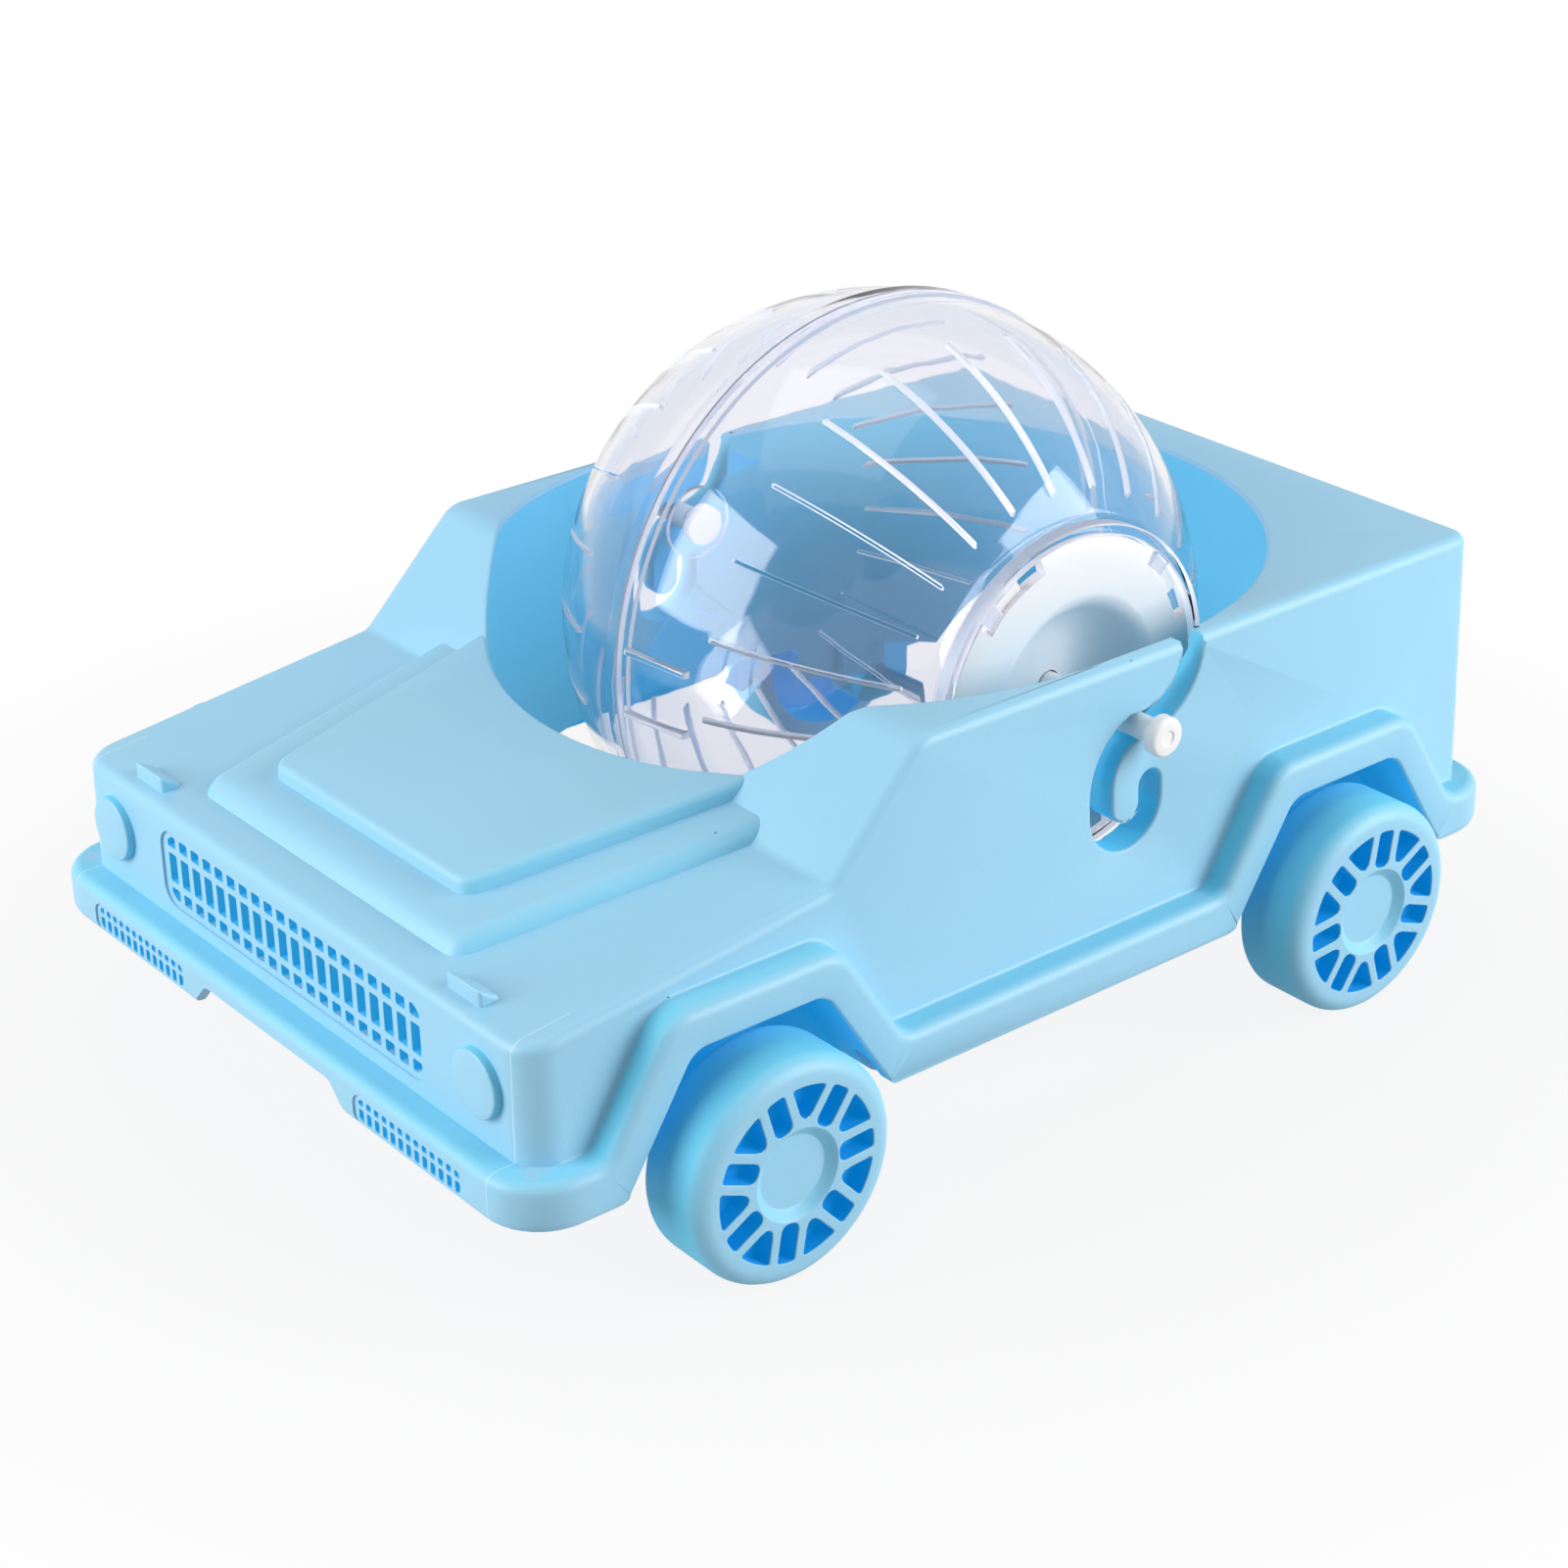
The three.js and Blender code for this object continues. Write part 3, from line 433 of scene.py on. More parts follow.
def tidy_normals():
    """Merges doubled vertices of the open piece and turns its faces outward."""
    bpy.ops.mesh.select_all(action="SELECT")
    bpy.ops.mesh.remove_doubles(threshold=MERGE)
    bpy.ops.mesh.normals_make_consistent(inside=False)


def prism(name, view, corners, low, high, steps=4):
    """Solid drawn from (u, v, corner radius) corners in one view and extruded across it."""
    place = VIEWS[view]
    points = [place(u, v, low) for u, v, *_ in corners]
    piece = draw(name, points, True)
    bpy.ops.mesh.select_all(action="SELECT")
    bpy.ops.mesh.edge_face_add()
    for corner, (_, _, *radius) in zip(points, corners):
        if radius:
            before, after = neighbours(points, corner)
            half = (before - corner).angle(after - corner) / 2
            pick(piece, "verts", at(corner))
            bpy.ops.mesh.bevel(
                offset=mm(*radius) / math.tan(half), segments=steps, affect="VERTICES",
                clamp_overlap=False)
    bpy.ops.mesh.select_all(action="SELECT")
    across = place(0, 0, high) - place(0, 0, low)
    bpy.ops.mesh.extrude_region_move(TRANSFORM_OT_translate={"value": across})
    tidy_normals()
    close()
    return piece


def neighbours(points, corner):
    """The points before and after a corner on a closed line."""
    i = points.index(corner)
    return points[i - 1], points[(i + 1) % len(points)]


def block(name, low, high):
    """Box between two corners, in millimetres."""
    take()
    low, high = mm(*low), mm(*high)
    bpy.ops.mesh.primitive_cube_add(size=1, location=(low + high) / 2)
    piece = bpy.context.object
    piece.name = piece.data.name = name
    piece.scale = high - low
    bpy.ops.object.transform_apply(location=True, rotation=True, scale=True)
    return piece


def lathe(name, profile, steps):
    """Body turned about the x axis from a line of (radius, x) points, in millimetres."""
    points = [mm(x, 0, r) for r, x in profile]
    on_axis = profile[0][0] == 0 and profile[-1][0] == 0
    piece = draw(name, points, not on_axis)
    bpy.ops.mesh.select_all(action="SELECT")
    bpy.ops.mesh.spin(steps=steps, angle=2 * math.pi, center=(0, 0, 0), axis=(1, 0, 0))
    tidy_normals()
    close()
    return piece


def put(piece, matrix):
    """Moves a piece's mesh by a matrix; the object stays at the origin."""
    take(piece)
    piece.matrix_world = matrix
    bpy.ops.object.transform_apply(location=True, rotation=True, scale=True)
    return piece


def copy_of(piece, name):
    """Copy of a piece with a mesh of its own."""
    take(piece)
    bpy.ops.object.duplicate(linked=False)
    twin = bpy.context.object
    twin.name = twin.data.name = name
    return twin


def joined(pieces):
    """Several pieces as one mesh."""
    take(*pieces)
    if len(pieces) > 1:
        bpy.ops.object.join()
    return bpy.context.object


def combine(piece, tool, operation):
    """Adds, cuts or intersects one solid with another, which is used up."""
    take(piece)
    change = piece.modifiers.new(operation.title(), "BOOLEAN")
    change.object = tool
    change.operation = operation
    change.solver = "EXACT"
    bpy.ops.object.modifier_apply(modifier=change.name)
    bpy.data.objects.remove(tool)


def add(piece, *tools):
    """Unites solids with a piece."""
    for tool in tools:
        combine(piece, tool, "UNION")


def cut(piece, *tools):
    """Cuts solids out of a piece."""
    for tool in tools:
        combine(piece, tool, "DIFFERENCE")


def finish_piece(piece, body, node, material, angle=35):
    """Smooths a piece, gives it its finish and hangs it on its CAD body in place of its node."""
    edit(piece)
    tidy_normals()
    close()
    bpy.ops.object.shade_smooth_by_angle(angle=math.radians(angle))
    piece.data.materials.clear()
    piece.data.materials.append(material)
    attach(piece, body)
    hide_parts(node)


def mark_faces(piece, name, value_at):
    """Stores a value on each face, found from its place in millimetres and its normal."""
    marks = piece.data.attributes.new(name, "FLOAT", "FACE")
    for face, mark in zip(piece.data.polygons, marks.data):
        mark.value = value_at(face.center * 1000, face.normal)


# Moulded car body

def hull(settings):
    """Drafted hood-and-deck block with rounded edges."""
    piece = prism("moulded_car", "side", [
        (-HALF_LENGTH, HULL_FOOT),
        (HALF_LENGTH, HULL_FOOT),
        (HALF_LENGTH, DECK_HEIGHT),
        WINDSHIELD_TOP,
        WINDSHIELD_FOOT,
        (-HALF_LENGTH, HOOD_FRONT_Z),
    ], -DECK_HALF, DECK_HALF)
    edit(piece)
    for z in (HULL_FOOT, HOOD_FRONT_Z, WINDSHIELD_FOOT[1]):
        pick(piece, "verts", lambda vertex: abs(vertex.co.z - mm(z)) < NEAR)
        bpy.ops.transform.resize(value=(body_half(z) / DECK_HALF, 1, 1), center_override=(0, 0, 0))
    close()

    def across(y, z):
        """Test for an edge that runs across the car at a place in the side view."""
        spot = mm(0, y, z)
        return lambda edge: all((v.co.yz - spot.yz).length < NEAR for v in edge.verts)

    def upright(y):
        """Test for an upright corner edge of the front or the rear."""
        tall = runs(2, 10)
        return lambda edge: tall(edge) and all(abs(v.co.y - mm(y)) < NEAR for v in edge.verts)

    round_edges(piece, across(*WINDSHIELD_TOP), WINDSHIELD_TOP_EDGE, 5)
    round_edges(piece, across(*WINDSHIELD_FOOT), WINDSHIELD_FOOT_EDGE, 3)
    round_edges(piece, upright(-HALF_LENGTH), settings.front_corner * 1000, 8)
    round_edges(piece, upright(HALF_LENGTH), settings.rear_corner * 1000, 6)
    round_edges(piece, lambda edge: between(
        edge, lambda face: face.normal.z > 0.5, lambda face: abs(face.normal.z) < 0.3),
        settings.top_edge * 1000, 5)
    return piece


def hood_panel(name, step, base, front_slope, side_slope, edge):
    """Raised panel lying on the hood, its rear end inside the windshield."""
    stretch = math.hypot(1, HOOD_SLOPE)
    front_half = PANEL_FRONT_HALF - step
    rear_half = PANEL_REAR_HALF - step
    front = (PANEL_SETBACK + step) * stretch
    rear = (WINDSHIELD_TOP[0] + HALF_LENGTH) * stretch
    top = base + PANEL_RISE
    piece = prism(name, "plan", [
        (-front_half, front, PANEL_CORNER),
        (front_half, front, PANEL_CORNER),
        (rear_half, rear),
        (-rear_half, rear),
    ], base - 1, top, 5)
    edit(piece)
    pick(piece, "verts", lambda vertex: vertex.co.z > mm(top) - NEAR)
    narrow = (rear_half - side_slope) / rear_half
    bpy.ops.transform.resize(value=(narrow, 1, 1), center_override=(0, 0, 0))
    halfway = mm((front + rear) / 2)
    pick(piece, "verts", lambda vertex: vertex.co.z > mm(top) - NEAR and vertex.co.y < halfway)
    bpy.ops.transform.translate(value=mm(0, front_slope, 0))
    close()
    round_edges(piece, lambda side: all(v.co.z > mm(top) - NEAR for v in side.verts)
                and middle(side).y < mm(rear) - NEAR, edge, 5)
    turn = Matrix.Rotation(math.atan(HOOD_SLOPE), 4, "X")
    return put(piece, Matrix.Translation(mm(0, -HALF_LENGTH, HOOD_FRONT_Z)) @ turn)


def arch_corner(axle_y, side, distance, z):
    """Place along the car of a sloped arch leg at a height."""
    return axle_y + side * (distance - (z - WHEEL_RADIUS) * math.sin(ARCH_LEG)) / math.cos(ARCH_LEG)


def band(settings):
    """Raised band that runs as bumper, sill and wheel-arch trim."""
    top = WHEEL_RADIUS + BAND_RADIUS
    corners = [(-BUMPER_Y, GROUND), (BUMPER_Y, GROUND), (BUMPER_Y, BAND_TOP)]
    for axle_y in (REAR_AXLE_Y, FRONT_AXLE_Y):
        corners += [
            (arch_corner(axle_y, 1, BAND_RADIUS, BAND_TOP), BAND_TOP, BAND_FOOT_CORNER),
            (arch_corner(axle_y, 1, BAND_RADIUS, top), top, BAND_TOP_CORNER),
            (arch_corner(axle_y, -1, BAND_RADIUS, top), top, BAND_TOP_CORNER),
            (arch_corner(axle_y, -1, BAND_RADIUS, BAND_TOP), BAND_TOP, BAND_FOOT_CORNER),
        ]
    corners.append((-BUMPER_Y, BAND_TOP))
    piece = prism("band", "side", corners, -BAND_HALF, BAND_HALF, 6)
    tall = runs(2, 5)
    round_edges(piece, lambda edge: tall(edge) and abs(middle(edge).y) > mm(BUMPER_Y) - NEAR
                and abs(middle(edge).x) > mm(BAND_HALF) - NEAR, BUMPER_CORNER, 10)
    round_edges(piece, lambda edge: between(
        edge, lambda face: abs(face.normal.z) < 0.05, lambda face: abs(face.normal.z) > 0.3),
        settings.band_edge * 1000, 5)
    return piece


def headlight(side):
    """Flat round button on the front face."""
    edge = HEADLIGHT_EDGE
    profile = [
        (0, -2.0),
        (HEADLIGHT_RADIUS, -2.0),
        *arc(HEADLIGHT_RADIUS - edge, HEADLIGHT_PROUD - 1.4 * edge, edge, 0, 80, 5),
        (HEADLIGHT_RADIUS * 0.55, HEADLIGHT_PROUD - 0.12),
        (0, HEADLIGHT_PROUD),
    ]
    piece = lathe("headlight", profile, 48)
    x, z = HEADLIGHT
    turn = Matrix.Rotation(math.radians(-90), 4, "Z")
    return put(piece, Matrix.Translation(mm(side * x, -HALF_LENGTH, z)) @ turn)


def hood_tab(side):
    """Small wedge at the front edge of the hood."""
    front = -HALF_LENGTH + TAB_SETBACK
    rear = front + TAB_DEPTH
    piece = prism("hood_tab", "side", [
        (front, hood_z(front) - 1),
        (rear, hood_z(rear) - 1),
        (rear, hood_z(rear) + 0.5),
        (front, hood_z(front) + TAB_HEIGHT),
    ], side * TAB_X - TAB_LENGTH / 2, side * TAB_X + TAB_LENGTH / 2)
    round_edges(piece, lambda edge: middle(edge).z > mm(hood_z(rear) + 0.6), TAB_EDGE, 4)
    return piece


def well_block(name, low, high, wall=0.0):
    """Stadium-shaped drafted block of the ball well, grown by a wall."""
    take()
    radius = well_at(low) + wall
    bpy.ops.mesh.primitive_circle_add(
        vertices=WELL_STEPS, radius=mm(radius), fill_type="NGON", location=mm(0, WELL_FRONT_Y, low),
        rotation=(0, 0, math.pi / WELL_STEPS))
    piece = bpy.context.object
    piece.name = piece.data.name = name
    bpy.ops.object.transform_apply(location=True, rotation=True, scale=True)
    edit(piece)
    pick(piece, "verts", lambda vertex: vertex.co.y > mm(WELL_FRONT_Y))
    bpy.ops.transform.translate(value=mm(0, WELL_REAR_Y - WELL_FRONT_Y, 0))
    bpy.ops.mesh.select_all(action="SELECT")
    bpy.ops.mesh.extrude_region_move(TRANSFORM_OT_translate={"value": mm(0, 0, high - low)})
    grown = well_at(high) - well_at(low)
    half = (WELL_REAR_Y - WELL_FRONT_Y) / 2
    bpy.ops.transform.resize(
        value=((radius + grown) / radius, (radius + half + grown) / (radius + half), 1),
        center_override=mm(0, WELL_MIDDLE_Y, high))
    tidy_normals()
    close()
    return piece


def underside():
    """Hollow below hood, deck and band, around the well liner and the slotted side webs."""
    wall = BODY_WALL
    piece = prism("underside", "side", [
        (-HALF_LENGTH + wall, GROUND - 2),
        (HALF_LENGTH - wall, GROUND - 2),
        (HALF_LENGTH - wall, DECK_HEIGHT - wall),
        (WINDSHIELD_TOP[0] + wall * 0.4, DECK_HEIGHT - wall),
        (WINDSHIELD_FOOT[0] + wall * 0.8, WINDSHIELD_FOOT[1] - wall),
        (-HALF_LENGTH + wall, HOOD_FRONT_Z - wall),
    ], -DECK_HALF + wall, DECK_HALF - wall)
    reach = BAND_HALF - wall
    length = BUMPER_Y - wall
    radius = BUMPER_CORNER - wall
    add(piece, prism("skirt", "plan", [
        (-reach, -length, radius),
        (reach, -length, radius),
        (reach, length, radius),
        (-reach, length, radius),
    ], GROUND - 2, BAND_TOP - wall, 8))
    cut(piece, well_block("liner", LINER_BOTTOM, DECK_HEIGHT, wall))
    cut(piece, block("webs", (-OUTSIDE, WELL_MIDDLE_Y - WEB_LENGTH / 2, LINER_BOTTOM),
                     (OUTSIDE, WELL_MIDDLE_Y + WEB_LENGTH / 2, OUTSIDE)))
    return piece


def wheel_house(axle_y, side):
    """Block behind a wheel opening that becomes the cup round its wheel."""
    radius = ARCH_RADIUS + HOUSE_WALL
    top = WHEEL_RADIUS + radius
    low, high = sorted((side * HOUSE_X, side * (DECK_HALF + 1)))
    return prism("house", "side", [
        (arch_corner(axle_y, 1, radius, GROUND), GROUND),
        (arch_corner(axle_y, 1, radius, top), top),
        (arch_corner(axle_y, -1, radius, top), top),
        (arch_corner(axle_y, -1, radius, GROUND), GROUND),
    ], low, high)


def slot_pad(side):
    """Flat pad inside the well that thickens the wall round the peg slot."""
    top_x, top = PAD_TOP
    corners = [(PAD_X, LINER_BOTTOM), (PAD_OUTER_X, LINER_BOTTOM), (PAD_OUTER_X, top), (top_x, top),
               (PAD_X, PAD_SHOULDER)]
    return prism("pad", "front", [(side * x, z) for x, z in corners],
                 WELL_MIDDLE_Y - PAD_LENGTH / 2, WELL_MIDDLE_Y + PAD_LENGTH / 2)


def arch_opening(axle_y, side):
    """Wheel opening through one side."""
    foot = arch_corner(axle_y, 1, ARCH_RADIUS, GROUND) - axle_y
    top = WHEEL_RADIUS + ARCH_RADIUS
    shoulder_y = arch_corner(axle_y, 1, ARCH_RADIUS, top) - axle_y
    flare = foot + ARCH_FLARE
    low, high = sorted((side * (HOUSE_X + HOUSE_WALL), side * OUTSIDE))
    return prism("arch", "side", [
        (axle_y - flare, BELOW_GROUND),
        (axle_y + flare, BELOW_GROUND),
        (axle_y + flare, FLARE_FOOT),
        (axle_y + foot, FLARE_FOOT, ARCH_FOOT_CORNER),
        (axle_y + shoulder_y, top, ARCH_TOP_CORNER),
        (axle_y - shoulder_y, top, ARCH_TOP_CORNER),
        (axle_y - foot, FLARE_FOOT, ARCH_FOOT_CORNER),
        (axle_y - flare, FLARE_FOOT),
    ], low, high, 6)


def axle_post(axle_y, side, top):
    """Post that hangs inside the shell and carries an axle end."""
    middle_x = side * POST_X
    return prism("post", "side", [
        (axle_y - POST_LENGTH / 2, POST_FOOT, POST_CORNER),
        (axle_y + POST_LENGTH / 2, POST_FOOT, POST_CORNER),
        (axle_y + POST_LENGTH / 2, top),
        (axle_y - POST_LENGTH / 2, top),
    ], middle_x - POST_WIDTH / 2, middle_x + POST_WIDTH / 2)


def axle_bore(axle_y):
    """Bore for an axle through both posts."""
    radius = AXLE_RADIUS + RUN_GAP
    end = AXLE_BORE_END
    bore = lathe("bore", [(0, -end), (radius, -end), (radius, end), (0, end)], 32)
    return put(bore, Matrix.Translation(mm(0, axle_y, WHEEL_RADIUS)))


def peg_slot():
    """Curved peg slot through both sides: mouth, entry curve, tongue and hook."""
    lift_y, lift_z = LIFT_CENTRE.y * 1000, LIFT_CENTRE.z * 1000
    mouth = lift_y + LIFT_RADIUS
    tongue_y, tongue_z, tongue_r = TONGUE
    hook_y, hook_z, hook_r = HOOK
    floor = BALL_CENTRE.z * 1000 - SLOT_HALF
    roof = BALL_CENTRE.z * 1000 + SLOT_HALF
    tip = 180 - math.degrees(math.asin((floor - tongue_z) / (tongue_r - SLOT_HALF)))
    roof_tip = 180 - math.degrees(math.asin((roof - tongue_z) / (tongue_r + SLOT_HALF)))
    line = [(mouth + SLOT_HALF, DECK_HEIGHT + 3)]
    line += arc(lift_y, lift_z, LIFT_RADIUS + SLOT_HALF, 0, -90, 16)
    line += arc(tongue_y, tongue_z, tongue_r - SLOT_HALF, tip, 180, 12)
    line += arc(hook_y, hook_z, hook_r - SLOT_HALF, 180, 360, 14)
    line += arc(tongue_y, ARM_END, SLOT_HALF, 180, 0, 12)
    line += arc(hook_y, hook_z, hook_r + SLOT_HALF, 0, -180, 20)
    line += arc(tongue_y, tongue_z, tongue_r + SLOT_HALF, 180, roof_tip, 12)
    line += arc(lift_y, lift_z, LIFT_RADIUS - SLOT_HALF, -90, 0, 14)
    line.append((mouth - SLOT_HALF, DECK_HEIGHT + 3))
    kept = [line[0]]
    for point in line[1:]:
        if math.dist(point, kept[-1]) > 0.05:
            kept.append(point)
    return prism("peg_slot", "side", kept, -OUTSIDE, OUTSIDE)


def lattice(name, plan, left, front):
    """Rows of small rounded holes, cut through from the front."""
    holes = []
    low = plan.bottom
    for height in plan.rows:
        hole = block(name, (left + plan.bar / 2, front - 2, low),
                     (left + plan.pitch - plan.bar / 2, front + (BODY_WALL + 1), low + height))
        round_edges(hole, runs(1), HOLE_EDGE, 3)
        repeat = hole.modifiers.new("Columns", "ARRAY")
        repeat.count = plan.columns
        repeat.use_relative_offset = False
        repeat.use_constant_offset = True
        repeat.constant_offset_displace = mm(plan.pitch, 0, 0)
        take(hole)
        bpy.ops.object.modifier_apply(modifier=repeat.name)
        holes.append(hole)
        low += height + plan.row_bar
    return joined(holes)


def border(sides, ends, margin, radius, front, depth):
    """Rounded plate round a lattice, from ahead of the front face to a depth."""
    (left, right), (bottom, top) = sides, ends
    return prism("border", "front", [
        (left - margin, bottom - margin, radius),
        (right + margin, bottom - margin, radius),
        (right + margin, top + margin, radius),
        (left - margin, top + margin, radius),
    ], front - 2, front + depth, 8)


def vents(name, plan, left, right, front):
    """Cutters for a lattice of holes and the shallow rounded border round it."""
    top = plan.bottom + sum(plan.rows) + plan.row_bar * (len(plan.rows) - 1)
    area = (left, right), (plan.bottom, top)
    holes = lattice(name, plan, left, front)
    combine(holes, border(*area, *plan.clip, front, BODY_WALL + 2), "INTERSECT")
    margin, radius, depth = plan.border
    return [border(*area, margin, radius, front, depth), holes]


def bumper_gap():
    """Shallow step in the middle of the bumper's lower edge."""
    half, flare, rise = BUMPER_GAP_HALF, BUMPER_GAP_FLARE, BUMPER_GAP_RISE
    return prism("bumper_gap", "front", [
        (-half - flare, BELOW_GROUND),
        (half + flare, BELOW_GROUND),
        (half + flare, FLARE_FOOT),
        (half, GROUND + rise, BUMPER_GAP_CORNER),
        (-half, GROUND + rise, BUMPER_GAP_CORNER),
        (-half - flare, FLARE_FOOT),
    ], -BUMPER_Y - 2, -BUMPER_Y + BODY_WALL + 2, 5)


def in_well(spot, normal):
    """True at a place, in millimetres, on the well's wall."""
    y = min(max(spot.y, WELL_FRONT_Y), WELL_REAR_Y)
    return abs(normal.z) < 0.2 and abs(math.hypot(spot.x, spot.y - y) - WELL_RADIUS) < 2


def well_wall(face):
    """True for a face of the well's wall."""
    return in_well(face.calc_center_median() * 1000, face.normal)


def outer_side(face):
    """True for a face of the car's outer sides."""
    spot = face.calc_center_median()
    outer = abs(spot.x) > mm(body_half(spot.z * 1000) - 0.3)
    return outer and abs(face.normal.x) > 0.99 and face.normal.x * spot.x > 0


def cut_wall(face):
    """True for a face across a slot or wheel opening."""
    return abs(face.normal.x) < 0.05


def under_roof(spot):
    """True in the hollow below hood, windshield and deck."""
    rise = (WINDSHIELD_TOP[1] - WINDSHIELD_FOOT[1]) / (WINDSHIELD_TOP[0] - WINDSHIELD_FOOT[0])
    windshield = WINDSHIELD_FOOT[1] + rise * (spot.y - WINDSHIELD_FOOT[0])
    roof = min(DECK_HEIGHT, max(hood_z(spot.y), windshield))
    return abs(spot.x) < DECK_HALF - SKIN and abs(spot.y) < HALF_LENGTH - SKIN and spot.z < roof - SKIN


def under_band(spot, normal):
    """True in the hollow of bumper and sill, on faces that look inward or down."""
    inside = abs(spot.x) < BAND_HALF - SKIN and abs(spot.y) < BUMPER_Y - SKIN and spot.z < BAND_TOP - SKIN
    return inside and (normal.x * spot.x + normal.y * spot.y < 0 or normal.z < -0.5)


def in_arch(spot, normal):
    """True on the wall of a wheel opening."""
    return abs(normal.x) < 0.05 and abs(spot.x) > POST_X and any(
        abs(spot.y - axle_y) < WHEEL_RADIUS * 1.6
        and (spot.y - axle_y) * normal.y + (spot.z - WHEEL_RADIUS) * normal.z < 0
        for axle_y in (FRONT_AXLE_Y, REAR_AXLE_Y))


def in_vent(spot, normal):
    """True on the walls of the holes in grille and bumper."""
    x = abs(spot.x)
    grille = -HALF_LENGTH + 0.55 < spot.y < -HALF_LENGTH + BODY_WALL \
        and x < GRILLE_WIDTH / 2 and GRILLE.bottom < spot.z < HOOD_FRONT_Z - 4
    lamp = -BUMPER_Y + 0.3 < spot.y < -BUMPER_Y + BODY_WALL \
        and LAMP_INNER_X < x < LAMP_INNER_X + LAMP_WIDTH \
        and LAMP.bottom - 0.1 < spot.z < BAND_TOP - BODY_WALL
    return abs(normal.y) < 0.2 and (grille or lamp)


def in_slot(spot, normal):
    """True on the walls of the peg slot."""
    start, end = SLOT_SPAN_Y
    return abs(normal.x) < 0.05 and PAD_X - 1 < abs(spot.x) < body_half(spot.z) - 0.7 \
        and start < spot.y < end and SLOT_LOWEST < spot.z < DECK_HEIGHT - 1


def on_ledge(spot, normal):
    """True on the rounded top of bumper, sill and arch trim."""
    beside = abs(spot.x) > body_half(spot.z) + 0.3 and spot.z < WHEEL_RADIUS + BAND_RADIUS + 0.5
    ahead = abs(spot.y) > HALF_LENGTH + 0.3 and spot.z < BAND_TOP + 0.5
    return normal.z > 0.2 and (beside or ahead)


def body_painted_shade(spot, normal):
    """How deep a painted shade a face of the car gets, from where it lies in shade."""
    x = abs(spot.x)
    hollow = under_roof(spot)
    # Painted shade on the walls of wheel openings and houses, the well, the peg slot, the hollows and the
    # vent holes
    if in_arch(spot, normal):
        return PAINTED_SHADE_DEPTHS["arch"]
    if HOUSE_X < x < HOUSE_X + HOUSE_WALL + 0.1 and normal.x * spot.x > 0.9 * x:
        return PAINTED_SHADE_DEPTHS["house"]
    if hollow and in_well(spot, normal):
        return PAINTED_SHADE_DEPTHS["well"]
    if in_slot(spot, normal):
        return PAINTED_SHADE_DEPTHS["hook" if spot.z < BALL_CENTRE.z * 1000 else "entry"]
    if hollow or under_band(spot, normal) or in_vent(spot, normal):
        return PAINTED_SHADE_DEPTHS["hollow"]
    # Painted shadow round the rim of the headlight button
    off_centre = math.hypot(x - HEADLIGHT[0], spot.z - HEADLIGHT[1])
    if spot.y < -HALF_LENGTH and abs(normal.y) < 0.5 and off_centre < HEADLIGHT_RADIUS + 0.3:
        return PAINTED_SHADE_DEPTHS["headlight"]
    # Painted shade on the tops of bumper, sill and arch trim, more on slopes that face forward
    if on_ledge(spot, normal):
        forward = max(0, -normal.y) if abs(spot.y) < HALF_LENGTH - 5 else 0
        return (1 - abs(normal.x)) * (PAINTED_SHADE_DEPTHS["ledge"] * normal.z + PAINTED_SHADE_DEPTHS["forward_ledge"] * forward)
    # Painted shade on the upright sides of the hood panels
    on_panel = spot.z > hood_z(spot.y) + 0.1 and x < PANEL_REAR_HALF + 1 and spot.y < WINDSHIELD_FOOT[0] + 4
    return PAINTED_SHADE_DEPTHS["panel"] * abs(normal.x) if on_panel else 0.0


def car_body(settings):
    """The moulded car in one piece."""
    body = hull(settings)
    add(body,
        hood_panel("lower_panel", step=0, base=0, front_slope=2.6, side_slope=1.2, edge=2.4),
        hood_panel("upper_panel", step=PANEL_STEP, base=PANEL_RISE,
                   front_slope=0.6, side_slope=0.5, edge=1.3),
        band(settings))
    for side in (-1, 1):
        add(body, headlight(side), hood_tab(side))
    cut(body, underside())
    for axle_y, top in ((FRONT_AXLE_Y, hood_z(FRONT_AXLE_Y) - 2), (REAR_AXLE_Y, DECK_HEIGHT - 1)):
        for side in (-1, 1):
            add(body, wheel_house(axle_y, side))
            cut(body, arch_opening(axle_y, side))
            add(body, axle_post(axle_y, side, top))
        cut(body, axle_bore(axle_y))
    add(body, well_block("liner", LINER_BOTTOM, HOOD_FRONT_Z - BODY_WALL, BODY_WALL))
    cut(body, well_block("well", GROUND - 1, DECK_HEIGHT + 2))
    add(body, slot_pad(-1), slot_pad(1))
    cut(body, peg_slot())
    cut(body, *vents("grille", GRILLE, -GRILLE_WIDTH / 2, GRILLE_WIDTH / 2, -HALF_LENGTH))
    for left in (LAMP_INNER_X, -LAMP_INNER_X - LAMP_WIDTH):
        cut(body, *vents("lamp", LAMP, left, left + LAMP_WIDTH, -BUMPER_Y))
    cut(body, bumper_gap())
    split_faces(body)
    round_edges(body, lambda edge: between(edge, well_wall, lambda face: face.normal.z > 0.5),
                settings.rim_edge * 1000, 4)
    round_edges(body, lambda edge: between(edge, outer_side, cut_wall), settings.cut_edge * 1000, 3)
    # Painted shade: each face stores how deep in shade it lies, and the blue plastic paints its colour by
    # it
    mark_faces(body, "recess", body_painted_shade)
    return body


# Wheels

